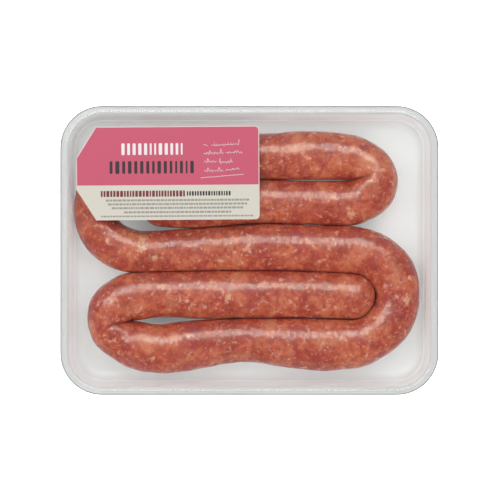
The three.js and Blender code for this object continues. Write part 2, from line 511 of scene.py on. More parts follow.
@dataclass(frozen=True)
class Bits:
    """Soft-edged bits of one kind in the mince, cut out of a noise of their size."""

    size: float
    share: tuple[float, float]  # the noise's values where a bit starts and where it is whole
    colours: tuple[str, str]
    strength: float
    height: float = 0.0  # how far they stand proud under the casing
    warp: float = 0.6
    seed: float = 0.0
    detail: float = 1.5
    tint_size: float = 7 * MM  # of the places that take one colour or the other

    @property
    def grain(self) -> Grain:
        """The noise that they are cut out of."""
        return Grain(self.size, self.detail, self.seed, self.warp)

    @property
    def tint(self) -> Grain:
        """The noise that shares out their two colours."""
        return Grain(self.tint_size, 0.0, self.seed)


@dataclass(frozen=True)
class RawMince:
    """Coarse raw mince, pressed into a thin moist casing: mottled brick red with peach fat, dark
    specks, hair-thin pale sinews and a soft shine that the casing's cross wrinkles break up."""

    roughness: float = 0.5
    ior: float = 1.4
    flesh: float = 0.3  # how much of the light soaks in
    flesh_radius: tuple[float, float, float] = (1.0, 0.4, 0.25)  # red goes deepest
    flesh_depth: float = 1.6 * MM
    shine: float = 0.17  # roughness of the moist casing
    casing_ior: float = 1.5
    tones: tuple[tuple[float, str], ...] = (
        (0.0, "a43520"),
        (0.3, "b6472e"),
        (0.5, "c25333"),
        (0.7, "cb603c"),
        (1.0, "d57b55"),
    )
    mottle: Grain = Grain(4 * MM, 3.0, seed=7.0, warp=0.4)
    broad: Grain = Grain(16 * MM, 1.0, seed=8.0)
    tone_weight: float = 0.9  # of each of these two in the tone
    tone_offset: float = -0.4  # brings their sum back to about the middle
    tone_share: tuple[float, float] = (0.26, 0.74)  # the sums at the first and the last tone
    # Lean meat, brown meat, small crumbs, pink fat, pale fat, large pieces of fat and dark specks
    bits: tuple[Bits, ...] = (
        Bits(11 * MM, (0.5, 0.66), ("b43630", "a6302e"), 0.75, seed=1.0),
        Bits(9 * MM, (0.52, 0.68), ("c8764e", "c0704e"), 0.45, seed=2.0),
        Bits(2.1 * MM, (0.55, 0.75), ("dc8468", "d8886a"), 0.6, warp=0.2, seed=16.0),
        Bits(3.4 * MM, (0.57, 0.80), ("ea9880", "ecac90"), 0.95, 0.05 * MM, 0.2, seed=3.0),
        Bits(2.6 * MM, (0.62, 0.83), ("f2b49e", "f4c4aa"), 0.8, 0.05 * MM, 0.2, seed=4.0),
        Bits(5.0 * MM, (0.61, 0.80), ("f0ac90", "f0c0a4"), 0.9, 0.06 * MM, seed=5.0),
        Bits(3.2 * MM, (0.60, 0.82), ("76201a", "7c2a1a"), 0.8, seed=6.0),
    )
    sinew: Grain = Grain(2.6 * MM, 1.0, seed=9.0, warp=1.2)
    sinew_width: float = 0.013  # in the noise's own value, to each side of its middle
    sinew_places: Grain = Grain(5 * MM, 1.0, seed=10.0)
    sinew_share: tuple[float, float] = (0.55, 0.62)
    sinew_colour: str = "eaa68c"
    sinew_strength: float = 0.15
    # the colour of the painted shade in the creases and folds
    crease_shade_colour: str = "841a0c"
    patches: tuple[tuple[str, str, float], ...] = ((FAT, "eab48e", 0.75), (LEAN, "9a3440", 0.55))
    rag: Grain = Grain(1.8 * MM, 2.0, seed=11.0, warp=0.6)
    raggedness: float = 1.6  # of the edges of those patches
    patch_share: tuple[float, float] = (0.35, 0.7)
    grain: Grain = Grain(2.2 * MM, 2.0, seed=12.0)
    grain_height: float = 0.1 * MM
    wrinkle_size: tuple[float, float, float] = (0.8 * MM, 5 * MM, 5 * MM)  # along, aside and up
    wrinkle: Grain = Grain(1.0, 1.5, seed=13.0, warp=0.3)  # in wrinkle sizes
    wrinkle_height: float = 0.06 * MM
    wrinkle_places: Grain = Grain(12 * MM, 1.0, seed=14.0)
    wrinkle_share: tuple[float, float] = (0.42, 0.62)
    streak_size: tuple[float, float, float] = (1.5 * MM, 6 * MM, 6 * MM)  # along, aside and up
    streak: Grain = Grain(1.0, 2.0, seed=15.0, warp=0.3)  # in streak sizes
    streak_share: tuple[float, float] = (0.36, 0.56)
    least_wet: float = 0.3  # between the wet streaks

    def marks(
        self,
        tree: bpy.types.NodeTree,
        place: bpy.types.NodeSocket,
        grain: Grain,
        share: tuple[float, float],
    ) -> bpy.types.NodeSocket:
        """Adds soft-edged marks, cut out of a noise.

        Args:
            tree: the material's node tree.
            place: where the noise is read.
            grain: the noise.
            share: its values where a mark starts and where it is whole.

        Returns:
            A socket that is 0 between the marks and 1 on them.
        """
        noise = add_node(tree, "ShaderNodeTexNoise", grain.inputs(place), noise_dimensions="4D")
        cut = add_node(
            tree,
            "ShaderNodeMapRange",
            {"Value": noise.outputs["Fac"], "From Min": share[0], "From Max": share[1]},
            interpolation_type="SMOOTHSTEP",
        )
        return cut.outputs[0]

    def painted(
        self,
        tree: bpy.types.NodeTree,
        below: bpy.types.NodeSocket,
        paint: object,
        marks: bpy.types.NodeSocket,
        strength: float,
    ) -> bpy.types.NodeSocket:
        """Paints marks over the colour so far.

        Args:
            tree: the material's node tree.
            below: the colour so far.
            paint: the marks' colour, a socket or a plain colour.
            marks: where they lie.
            strength: how well they cover.

        Returns:
            The socket of the new colour.
        """
        amount = add_node(tree, "ShaderNodeMath", {0: marks, 1: strength}, operation="MULTIPLY")
        mixed = add_node(
            tree, "ShaderNodeMix", {"Factor": amount.outputs[0], 6: below, 7: paint}, data_type="RGBA"
        )
        return mixed.outputs[2]

    def ground(self, tree: bpy.types.NodeTree, place: bpy.types.NodeSocket) -> bpy.types.NodeSocket:
        """Adds the mottled ground of the mince.

        Args:
            tree: the material's node tree.
            place: object coordinates.

        Returns:
            The socket of its colour.
        """
        blend = self.tone_offset
        for grain in (self.mottle, self.broad):
            noise = add_node(tree, "ShaderNodeTexNoise", grain.inputs(place), noise_dimensions="4D")
            blend = add_node(
                tree,
                "ShaderNodeMath",
                {0: noise.outputs["Fac"], 1: self.tone_weight, 2: blend},
                operation="MULTIPLY_ADD",
            ).outputs[0]
        spread = add_node(
            tree,
            "ShaderNodeMapRange",
            {"Value": blend, "From Min": self.tone_share[0], "From Max": self.tone_share[1]},
            interpolation_type="SMOOTHSTEP",
        )
        ramp = add_node(tree, "ShaderNodeValToRGB", {"Fac": spread.outputs[0]})
        fill_ramp(ramp, list(self.tones))
        return ramp.outputs["Color"]

    def colouring(
        self, tree: bpy.types.NodeTree, place: bpy.types.NodeSocket
    ) -> tuple[bpy.types.NodeSocket, bpy.types.NodeSocket]:
        """Adds the nodes for the mince's colours.

        Args:
            tree: the material's node tree.
            place: object coordinates.

        Returns:
            Output sockets: the colour, and how high the bits stand.
        """
        colour, relief = self.ground(tree, place), 0.0
        for bits in self.bits:
            marks = self.marks(tree, place, bits.grain, bits.share)
            tint = add_node(tree, "ShaderNodeTexNoise", bits.tint.inputs(place), noise_dimensions="4D")
            first, second = map(linear, bits.colours)
            paint = add_node(
                tree, "ShaderNodeMix", {"Factor": tint.outputs["Fac"], 6: first, 7: second}, data_type="RGBA"
            )
            colour = self.painted(tree, colour, paint.outputs[2], marks, bits.strength)
            if bits.height:
                relief = add_node(
                    tree, "ShaderNodeMath", {0: marks, 1: bits.height, 2: relief}, operation="MULTIPLY_ADD"
                ).outputs[0]

        # A sinew shows where its noise crosses the middle
        noise = add_node(tree, "ShaderNodeTexNoise", self.sinew.inputs(place), noise_dimensions="4D")
        line = add_node(
            tree,
            "ShaderNodeMath",
            {0: noise.outputs["Fac"], 1: 0.5, 2: self.sinew_width},
            operation="COMPARE",
        )
        places = self.marks(tree, place, self.sinew_places, self.sinew_share)
        thread = add_node(tree, "ShaderNodeMath", {0: line.outputs[0], 1: places}, operation="MULTIPLY")
        colour = self.painted(
            tree, colour, linear(self.sinew_colour), thread.outputs[0], self.sinew_strength
        )

        # Painted shade in the creases between runs and along the folds
        fold = add_node(tree, "ShaderNodeAttribute", attribute_name=CREASE_SHADE).outputs["Fac"]
        colour = self.painted(tree, colour, linear(self.crease_shade_colour), fold, 1.0)
        for name, paint, strength in self.patches:
            patch = add_node(tree, "ShaderNodeAttribute", attribute_name=name)
            noise = add_node(tree, "ShaderNodeTexNoise", self.rag.inputs(place), noise_dimensions="4D")
            ragged = add_node(
                tree,
                "ShaderNodeMath",
                {0: noise.outputs["Fac"], 1: self.raggedness, 2: -self.raggedness / 2},
                operation="MULTIPLY_ADD",
            )
            edge = add_node(tree, "ShaderNodeMath", {0: patch.outputs["Fac"], 1: ragged.outputs[0]})
            low, high = self.patch_share
            marks = add_node(
                tree,
                "ShaderNodeMapRange",
                {"Value": edge.outputs[0], "From Min": low, "From Max": high},
                interpolation_type="SMOOTHSTEP",
            )
            colour = self.painted(tree, colour, linear(paint), marks.outputs[0], strength)
        return colour, relief

    def casing(
        self, tree: bpy.types.NodeTree, place: bpy.types.NodeSocket, below: bpy.types.NodeSocket
    ) -> tuple[bpy.types.NodeSocket, bpy.types.NodeSocket]:
        """Adds the nodes for the casing: its low relief, and where it is wet.

        Args:
            tree: the material's node tree.
            place: object coordinates.
            below: how high the bits under it stand.

        Returns:
            Output sockets: the height of the relief, and the wetness.
        """
        grain = add_node(tree, "ShaderNodeTexNoise", self.grain.inputs(place), noise_dimensions="4D")
        relief = add_node(
            tree,
            "ShaderNodeMath",
            {0: grain.outputs["Fac"], 1: self.grain_height, 2: below},
            operation="MULTIPLY_ADD",
        )
        skin = add_node(tree, "ShaderNodeAttribute", attribute_name=CASING).outputs["Vector"]
        across, beside = (
            add_node(
                tree,
                "ShaderNodeVectorMath",
                {0: skin, 1: tuple(1 / size for size in sizes)},
                operation="MULTIPLY",
            ).outputs[0]
            for sizes in (self.wrinkle_size, self.streak_size)
        )
        wrinkle = add_node(tree, "ShaderNodeTexNoise", self.wrinkle.inputs(across), noise_dimensions="4D")
        places = self.marks(tree, place, self.wrinkle_places, self.wrinkle_share)
        shown = add_node(
            tree, "ShaderNodeMath", {0: wrinkle.outputs["Fac"], 1: places}, operation="MULTIPLY"
        )
        wrinkled = add_node(
            tree,
            "ShaderNodeMath",
            {0: shown.outputs[0], 1: self.wrinkle_height, 2: relief.outputs[0]},
            operation="MULTIPLY_ADD",
        )
        wet = add_node(
            tree,
            "ShaderNodeMath",
            {
                0: self.marks(tree, beside, self.streak, self.streak_share),
                1: 1 - self.least_wet,
                2: self.least_wet,
            },
            operation="MULTIPLY_ADD",
        )
        return wrinkled.outputs[0], wet.outputs[0]

    def material(self) -> bpy.types.Material:
        """Builds the material.

        Returns:
            The material.
        """
        made, tree, shader = start_material("raw_mince_in_casing", {
            "Roughness": self.roughness,
            "IOR": self.ior,
            "Subsurface Weight": self.flesh,
            "Subsurface Radius": self.flesh_radius,
            "Subsurface Scale": self.flesh_depth,
            "Coat Roughness": self.shine,
            "Coat IOR": self.casing_ior,
        })
        place = add_node(tree, "ShaderNodeTexCoord").outputs["Object"]
        colour, bits = self.colouring(tree, place)
        relief, wet = self.casing(tree, place, bits)
        tree.links.new(colour, shader.inputs["Base Color"])
        tree.links.new(wet, shader.inputs["Coat Weight"])
        bump = add_node(tree, "ShaderNodeBump", {"Height": relief, "Strength": 1.0, "Distance": 1.0})
        tree.links.new(bump.outputs["Normal"], shader.inputs["Normal"])
        tree.links.new(bump.outputs["Normal"], shader.inputs["Coat Normal"])
        return made


@dataclass(frozen=True)
class Run:
    """A nearly straight stretch of the sausage, by [x, y, width] in millimetres."""

    points: tuple[tuple[float, float, float], ...]


@dataclass(frozen=True)
class Bend:
    """A bend about a centre. Its list holds [distance from the centre, width] in millimetres, at
    even steps of its turn."""

    centre: tuple[float, float]
    turn: tuple[float, float]
    around: tuple[tuple[float, float], ...]


# The route of the part's source, from the end that shows to the end under the label, with the inner
# sides of the tight bends drawn closed
ROUTE: tuple[Run | Bend, ...] = (
    Run((
        (64.2, -28.7, 29.4), (31.5, -27.4, 29.9), (0, -27.4, 29.8), (-30.8, -27.8, 30.3),
        (-56, -27.3, 28.7),
    )),
    Bend(
        (-72.5, -44),
        (90, 270),
        ((15.2, 30.4), (14.6, 29.3), (14.9, 29.9), (14.4, 28.8), (14, 28), (13.4, 26.9), (14.9, 29.9)),
    ),
    Run((
        (-64, -60.8, 30.4), (-54, -61.5, 30.6), (-43.2, -60.3, 31.3), (-30.8, -58.5, 30.4),
        (-15.2, -56.8, 28), (0.4, -56.1, 27.6), (16, -57.1, 29.7), (31.5, -58.2, 31.8), (47, -59, 32.5),
    )),
    Bend(
        (61.4, -29),
        (-90, 90),
        ((29.6, 31.4), (29.4, 29), (30.2, 29.2), (31.3, 27.8), (31.5, 29.1), (30, 29.8), (29.4, 29.8)),
    ),
    Run((
        (43, 0.8, 29.6), (19, 1.7, 29.6), (-2, 1.7, 29.4), (-18, 1, 27.9), (-31, 0.3, 27.6),
        (-48, -0.5, 26.8),
    )),
    Bend(
        (-66.3, 30.1),
        (270, 90),
        ((31.1, 26.2), (31.9, 27.8), (32.1, 26.8), (30.1, 26.6), (28, 26.4), (28.6, 27.2), (29.5, 27.6)),
    ),
    Run(((-31, 59.5, 27.6), (6.6, 58.7, 28.6), (20, 58.8, 29.6), (31.5, 59.4, 30.4), (47, 59.2, 30.2))),
    Bend(
        (62.7, 43.9),
        (90, -90),
        ((14.2, 28.4), (13.7, 27.4), (14.4, 28.9), (15.1, 30.2), (14.9, 29.8), (14, 28.1), (14.3, 28.6)),
    ),
    Run((
        (46, 29.6, 27.8), (31.5, 30, 27.3), (20, 30.4, 27.6), (6.6, 30.5, 27.7), (-18, 28.6, 27.2),
        (-37, 27.3, 27.2), (-53.8, 28, 26.8),
    )),
)


def hermite(a: np.ndarray, b: np.ndarray, out: np.ndarray, into: np.ndarray, t: np.ndarray) -> np.ndarray:
    """Points of a cubic curve between a and b with the slopes out and into at its ends.

    Args:
        a: the start point.
        b: the end point.
        out: the slope at the start.
        into: the slope at the end.
        t: shares of the way, from 0 to 1.

    Returns:
        One row for each share.
    """
    t = t[:, None]
    return (
        (2 * t**3 - 3 * t**2 + 1) * a
        + (t**3 - 2 * t**2 + t) * out
        + (3 * t**2 - 2 * t**3) * b
        + (t**3 - t**2) * into
    )


def centripetal(points: np.ndarray, each: int) -> np.ndarray:
    """A centripetal Catmull-Rom curve through points.

    Args:
        points: the points, one row each.
        each: how many steps each stretch between two points gets.

    Returns:
        The curve's points, from the first point to the last.
    """
    full = np.vstack([2 * points[0] - points[1], points, 2 * points[-1] - points[-2]])
    steps = np.arange(each) / each
    rows = []
    for before, a, b, after in zip(full, full[1:], full[2:], full[3:]):
        d0, d1, d2 = (np.linalg.norm(q - p) ** 0.5 for p, q in ((before, a), (a, b), (b, after)))
        out = ((a - before) / d0 - (b - before) / (d0 + d1) + (b - a) / d1) * d1
        into = ((b - a) / d1 - (after - a) / (d1 + d2) + (after - b) / d2) * d1
        rows.append(hermite(a, b, out, into, steps))
    return np.vstack([*rows, points[-1]])


def uniform(points: np.ndarray, shares: np.ndarray) -> np.ndarray:
    """A Catmull-Rom curve through evenly spaced points.

    Args:
        points: the points, one row each.
        shares: shares of the whole way, from 0 to 1.

    Returns:
        One row for each share.
    """
    last = len(points) - 1
    at = np.minimum((shares * last).astype(int), last - 1)
    rows = []
    for k, share in zip(at, shares * last - at):
        slopes = [(points[min(i + 1, last)] - points[max(i - 1, 0)]) / 2 for i in (k, k + 1)]
        rows.append(hermite(points[k], points[k + 1], *slopes, np.array([share]))[0])
    return np.array(rows)


@dataclass(frozen=True)
class Fold:
    """A fold in the casing that runs outwards from the inner side of a tight bend, in millimetres."""

    centre: tuple[float, float]
    angle: float  # of its way outwards, in degrees
    length: float
    bow: float  # how far it curves aside by its end
    lead: float = 6.0  # how far before the centre it starts
    depth: float = 7.0
    depth_fade: float = 0.8  # the power by which its depth fades along it
    width: float = 1.8  # how far aside its slopes fall away
    line: float = 0.8  # half width of the painted shade line along it
    line_shade: float = 1.0  # how dark that painted shade is
    line_fade: float = 0.3  # the power by which the line fades along it


FOLDS = (
    Fold(centre=(-72.5, -44), angle=188, length=17, bow=1.6),
    Fold(centre=(62.7, 43.9), angle=8, length=16, bow=2.4),
)


@dataclass(frozen=True)
class Patch:
    """A patch of fat or lean under the upper skin: its middle and half sizes in millimetres. It
    fades out at twice those sizes."""

    x: float
    y: float
    long: float
    wide: float


PATCHES: dict[str, tuple[Patch, ...]] = {
    FAT: (
        Patch(-67.5, 0.9, 3.7, 2.5),
        Patch(-66.9, 6.5, 2.2, 1.8),
        Patch(-58.5, -4.7, 2.0, 1.7),
        Patch(-18, -6.6, 2.4, 1.3),
        Patch(-54.1, -22.5, 2.5, 1.5),
        Patch(64.5, 22.7, 3.0, 1.5),
        Patch(-37, -52.7, 2.4, 1.5),
        Patch(82.6, 50.1, 1.6, 1.4),
        Patch(-13.1, -29, 2.0, 2.6),
        Patch(19.5, -18.3, 1.4, 1.2),
        Patch(98, -30.9, 2.4, 1.8),
    ),
    LEAN: (
        Patch(71.4, 64.4, 3.0, 2.0),
        Patch(-17.1, -45.8, 5.0, 1.8),
        Patch(0.2, -34.8, 2.6, 2.8),
        Patch(-72.5, -49.6, 2.6, 1.2),
        Patch(-34, -50, 5.0, 2.2),
    ),
}


@dataclass
class Skeleton:
    """Sections along the sausage, in metres: one row, or one value, for each section."""

    place: np.ndarray
    left: np.ndarray  # directions
    across: np.ndarray  # half widths
    room_left: np.ndarray  # how far the skin may reach to the left
    room_right: np.ndarray

    @property
    def along(self) -> np.ndarray:
        """How far along the sausage each section lies."""
        return np.concatenate([[0], np.cumsum(np.linalg.norm(np.diff(self.place, axis=0), axis=1))])

    @property
    def way(self) -> np.ndarray:
        """The direction ahead at each section."""
        return np.stack([self.left[:, 1], -self.left[:, 0]], axis=1)


@dataclass
class Sausage:
    """One long sausage in its casing, from its visible end to the end under the label."""

    floor: float  # height that it lies at
    mean_width: float = 28.7 * MM
    mean_height: float = 26.6 * MM
    height_follows_width: float = 0.6  # the power of the width that the height follows
    roundness_above: float = 2.1  # of the section: 2 is an ellipse, and more is squarer
    roundness_below: float = 2.9
    pressed_gap: float = -0.5 * MM  # below 0, two runs that touch sink into each other
    inner_gap: float = -0.25 * MM  # the same at the centre of a tight bend
    press_rounds: int = 11  # halvings in the search for the pressed skin
    crease_shade: float = 0.8  # painted shade: how dark the mince is painted where two runs touch
    crease_reach: float = 2.4 * MM
    own_reach: float = 32 * MM  # along the sausage, within which it doesn't press itself
    near_reach: float = 1.4  # mean widths, past which two stretches can't touch
    fold_from: float = 1.1  # half heights above the floor at which folds start
    fold_rise: float = 0.3  # half heights over which they reach their depth
    patch_from: float = 0.8  # the same two for patches
    patch_rise: float = 0.2
    end_round: float = 2.2  # of the two ends: 2 is an ellipse
    end_rings: int = 14
    sides: int = 84
    step: float = 1.15 * MM  # between sections
    coarse_step: float = 4 * MM  # between those that press on the skin
    least_steps: int = 6  # in a bend
    curve_steps: int = 24  # between two points of a run
    heading_blur: float = 2.2 * MM
    lump_size: float = 10 * MM
    lump_height: float = 1.0 * MM
    crumb_size: float = 3.2 * MM
    crumb_height: float = 0.18 * MM
    seed: float = 4.2

    def bend_part(self, bend: Bend, step: float) -> Skeleton:
        """The sections of a bend, all of which point at its centre.

        Args:
            bend: the bend.
            step: the wanted distance between sections.

        Returns:
            The sections, both shared ends included.
        """
        start, end = np.radians(bend.turn)
        around = np.array(bend.around) * MM
        count = max(self.least_steps, math.ceil(abs(end - start) * around[:, 0].mean() / step))
        shares = np.linspace(0, 1, count + 1)
        distance, width = uniform(around, shares).T
        angle = start + (end - start) * shares
        out = np.stack([np.cos(angle), np.sin(angle)], axis=1)
        sense = np.sign(end - start)
        room = distance - self.inner_gap
        free = np.full_like(room, np.inf)
        return Skeleton(
            np.array(bend.centre) * MM + out * distance[:, None],
            -sense * out,
            width / 2,
            room if sense > 0 else free,
            free if sense > 0 else room,
        )

    def run_part(self, run: Run, before: Skeleton | None, after: Skeleton | None, step: float) -> Skeleton:
        """The sections of a run, without those that it shares with the bends beside it.

        Args:
            run: the run.
            before: the bend before it, if any.
            after: the bend after it, if any.
            step: the wanted distance between sections.

        Returns:
            The sections.
        """
        points = [np.array(point) * MM for point in run.points]
        if before:
            points.insert(0, np.array([*before.place[-1], 2 * before.across[-1]]))
        if after:
            points.append(np.array([*after.place[0], 2 * after.across[0]]))
        curve = centripetal(np.array(points), self.curve_steps)
        length = np.concatenate([[0], np.cumsum(np.linalg.norm(np.diff(curve, axis=0), axis=1))])
        count = math.ceil(length[-1] / step)
        at = np.linspace(0, length[-1], count + 1)
        x, y, width = (np.interp(at, length, column) for column in curve.T)
        place = np.stack([x, y], axis=1)
        way = np.gradient(place, axis=0)
        way /= np.linalg.norm(way, axis=1)[:, None]
        kept = slice(1 if before else 0, -1 if after else None)
        free = np.full(len(place), np.inf)[kept]
        left = np.stack([-way[:, 1], way[:, 0]], axis=1)
        return Skeleton(place[kept], left[kept], width[kept] / 2, free, free)

    def skeleton(self, step: float) -> Skeleton:
        """All sections along the route.

        Args:
            step: the wanted distance between sections.

        Returns:
            The sections, with the heading smoothed where runs and bends join.
        """
        bends = [self.bend_part(part, step) if isinstance(part, Bend) else None for part in ROUTE]
        parts = []
        for k, part in enumerate(ROUTE):
            before = bends[k - 1] if k else None
            after = bends[k + 1] if k + 1 < len(ROUTE) else None
            parts.append(bends[k] or self.run_part(part, before, after, step))
        whole = Skeleton(*(
            np.concatenate([getattr(part, name) for part in parts])
            for name in ("place", "left", "across", "room_left", "room_right")
        ))
        along = whole.along
        heading = np.unwrap(np.arctan2(whole.left[:, 1], whole.left[:, 0]))
        weight = np.exp(-0.5 * ((along[:, None] - along[None, :]) / self.heading_blur) ** 2)
        heading = (weight @ heading) / weight.sum(axis=1)
        inner = slice(3, -3)  # at its two ends the sausage keeps the route's own heading
        whole.left[inner] = np.stack([np.cos(heading), np.sin(heading)], axis=1)[inner]
        return whole

    def half_height(self, across: np.ndarray) -> np.ndarray:
        """Half the sausage's height where its half width is across."""
        return self.mean_height / 2 * (2 * across / self.mean_width) ** self.height_follows_width

    def outline(self) -> np.ndarray:
        """The curve of the section at even angles.

        Returns:
            Its points, in half widths and half heights.
        """
        angle = 2 * np.pi * np.arange(self.sides) / self.sides
        u, v = np.cos(angle), np.sin(angle)
        power = np.where(v > 0, self.roundness_above, self.roundness_below)
        reach = (np.abs(u) ** power + np.abs(v) ** power) ** (-1 / power)
        return np.stack([u * reach, v * reach], axis=1)

    def nearness(self, points: np.ndarray, along: np.ndarray, bones: Skeleton) -> np.ndarray:
        """How near points of the skin come to the rest of the sausage.

        Args:
            points: the points, one row each.
            along: how far along the sausage the section of each point lies.
            bones: coarse sections.

        Returns:
            The least distance of each point from a far stretch, in that stretch's half sizes.
        """
        a, b = bones.place[:-1], bones.place[1:]
        line = b - a
        start, end = bones.along[:-1], bones.along[1:]
        nearest = np.full(len(points), np.inf)
        for k in range(len(line)):
            far = np.minimum(np.abs(along - start[k]), np.abs(along - end[k])) > self.own_reach
            close = far & (np.abs(points[:, :2] - a[k]).max(axis=1) < self.near_reach * self.mean_width)
            if not close.any():
                continue
            offset = points[close, :2] - a[k]
            share = np.clip(offset @ line[k] / (line[k] @ line[k]), 0, 1)
            aside = np.linalg.norm(offset - share[:, None] * line[k], axis=1)
            across = bones.across[k] + share * (bones.across[k + 1] - bones.across[k])
            up = self.half_height(across)
            rise = (points[close, 2] - self.floor - up) / up
            nearest[close] = np.minimum(nearest[close], np.hypot(aside / across, rise))
        return nearest

    def pressed(
        self, centre: np.ndarray, reach: np.ndarray, across: np.ndarray, along: np.ndarray
    ) -> tuple[np.ndarray, np.ndarray]:
        """Skin points, pulled back towards their section's middle where another run presses.

        Args:
            centre: the middle of each point's section.
            reach: from that middle to the free skin point.
            across: half the width at each point's section.
            along: how far along the sausage each point's section lies.

        Returns:
            The points, and the painted shade of each from lying near another run.
        """
        bones = self.skeleton(self.coarse_step)
        up = self.half_height(across)
        own = np.sqrt((reach[:, :2] ** 2).sum(axis=1) / across**2 + (reach[:, 2] / up) ** 2)
        margin = self.pressed_gap / 2 / across
        share = np.ones(len(reach))
        clearance = self.nearness(centre + reach, along, bones) - own
        tight = clearance < margin
        low, high = np.zeros(tight.sum()), np.ones(tight.sum())
        c, r, o, m, s = centre[tight], reach[tight], own[tight], margin[tight], along[tight]
        for _ in range(self.press_rounds):
            middle = (low + high) / 2
            clear = self.nearness(c + r * middle[:, None], s, bones) >= middle * o + m
            low, high = np.where(clear, middle, low), np.where(clear, high, middle)
        share[tight] = low
        # Painted shade where the skin lies within crease_reach of another run
        dark = self.crease_shade * np.clip(1 - clearance * across / self.crease_reach, 0, 1) ** 2
        return centre + reach * share[:, None], dark

    def folded(self, points: np.ndarray) -> tuple[np.ndarray, np.ndarray]:
        """Sinks the fold that runs outwards from the inner side of each tight bend.

        Args:
            points: the skin's points.

        Returns:
            The points with the folds, and the painted shade of each point that lies in one.
        """
        moved, dark = points.copy(), np.zeros(len(points))
        for fold in FOLDS:
            direction = np.array([math.cos(math.radians(fold.angle)), math.sin(math.radians(fold.angle))])
            offset = (points[:, :2] - np.array(fold.centre) * MM) / MM
            out = offset @ direction
            aside = offset @ np.array([-direction[1], direction[0]])
            aside = np.abs(aside - fold.bow * (np.maximum(out, 0) / fold.length) ** 2)
            fade = np.clip(1 - out / fold.length, 0, 1) * np.clip(1 + out / fold.lead, 0, 1)
            height = (points[:, 2] - self.floor) / (self.mean_height / 2)
            above = np.clip((height - self.fold_from) / self.fold_rise, 0, 1)
            moved[:, 2] -= fold.depth * fade**fold.depth_fade * np.exp(-aside / fold.width) * above * MM
            # Painted shade along the bottom of the fold
            line = fold.line_shade * fade**fold.line_fade * np.exp(-((aside / fold.line) ** 2))
            dark = np.maximum(dark, line)
        return moved, dark

    def relief_tree(self) -> bpy.types.NodeTree:
        """The geometry nodes that raise the lumps of the coarse mince under the casing.

        Returns:
            The tree.
        """
        labels = ("Lump Size", "Lump Height", "Crumb Size", "Crumb Height", "Seed")
        tree, given, output = geometry_tree("MinceRelief", {
            **{label: ("NodeSocketFloat", 0.0) for label in labels},
            "Material": ("NodeSocketMaterial", None),
        })
        place = add_node(tree, "GeometryNodeInputPosition").outputs[0]
        normal = add_node(tree, "GeometryNodeInputNormal").outputs[0]
        rise = None
        for size, height, detail in (("Lump Size", "Lump Height", 1.0), ("Crumb Size", "Crumb Height", 2.0)):
            scale = add_node(tree, "ShaderNodeMath", {0: 1.0, 1: given.outputs[size]}, operation="DIVIDE")
            noise = add_node(
                tree,
                "ShaderNodeTexNoise",
                {"Vector": place, "W": given.outputs["Seed"], "Scale": scale.outputs[0], "Detail": detail},
                noise_dimensions="4D",
            )
            centred = add_node(tree, "ShaderNodeMath", {0: noise.outputs[0], 1: 0.5}, operation="SUBTRACT")
            part = add_node(
                tree,
                "ShaderNodeMath",
                {0: centred.outputs[0], 1: given.outputs[height]},
                operation="MULTIPLY",
            ).outputs[0]
            rise = part if rise is None else add_node(tree, "ShaderNodeMath", {0: rise, 1: part}).outputs[0]
        offset = add_node(tree, "ShaderNodeVectorMath", {0: normal, "Scale": rise}, operation="SCALE")
        moved = add_node(
            tree,
            "GeometryNodeSetPosition",
            {"Geometry": given.outputs["Geometry"], "Offset": offset.outputs[0]},
        )
        end_tree(tree, given, output, moved.outputs[0])
        return tree

    def skin(self) -> bpy.types.Object:
        """Lofts the casing's skin, pressed and folded but without the mince's lumps.

        Returns:
            The closed skin, with the attributes that its material reads.
        """
        bones = self.skeleton(self.step)
        across, along, way, left = bones.across, bones.along, bones.way, bones.left
        up = self.half_height(across)
        u, v = self.outline().T
        # Each ring lies at a section. Those of the two rounded ends shrink and are pushed outwards.
        rows, scales, pushes = [np.arange(len(across))], [np.ones(len(across))], [np.zeros(len(across))]
        for end, sense in ((0, -1), (len(across) - 1, 1)):
            share = np.sin(np.linspace(0, math.pi / 2, self.end_rings + 2)[1:-1])
            scale = (1 - share**self.end_round) ** (1 / self.end_round)
            order = slice(None, None, sense)
            rows.insert(0 if sense < 0 else len(rows), np.full(self.end_rings, end))
            scales.insert(0 if sense < 0 else len(scales), scale[order])
            pushes.insert(0 if sense < 0 else len(pushes), (sense * share * across[end])[order])
        row, scale, push = (np.concatenate(part) for part in (rows, scales, pushes))
        room = np.where(u > 0, bones.room_left[row][:, None], bones.room_right[row][:, None])
        aside = u * np.minimum(across[row][:, None], room) * scale[:, None]
        reach = np.zeros((len(row), self.sides, 3))
        reach[:, :, :2] = aside[:, :, None] * left[row][:, None] + (push[:, None] * way[row])[:, None]
        reach[:, :, 2] = v * up[row][:, None] * scale[:, None]
        centre = np.zeros((len(row), 3))
        centre[:, :2] = bones.place[row]
        centre[:, 2] = self.floor + up[row]
        spread = np.repeat(np.arange(len(row)), self.sides)
        rings, painted_crease_shade = self.pressed(
            centre[spread], reach.reshape(-1, 3), across[row][spread], along[row][spread]
        )
        tips = np.stack([np.append(-way[0] * across[0], 0), np.append(way[-1] * across[-1], 0)])
        ends, _ = self.pressed(centre[[0, -1]], tips, across[[0, -1]], along[[0, -1]])
        rings, dark = self.folded(rings)
        rings = rings.reshape(len(row), self.sides, 3)
        made = closed_loft("sausage_skin", rings, ends[0], ends[1])
        casing = np.zeros((len(row), self.sides, 3))
        casing[:, :, 0] = (along[row] + push)[:, None]
        casing[:, :, 1] = u * across[row][:, None] * scale[:, None]
        casing[:, :, 2] = v * up[row][:, None] * scale[:, None]
        tips = [(-across[0], 0, 0), (along[-1] + across[-1], 0, 0)]
        write_attribute(made, CASING, np.vstack([tips[0], casing.reshape(-1, 3), tips[1]]))
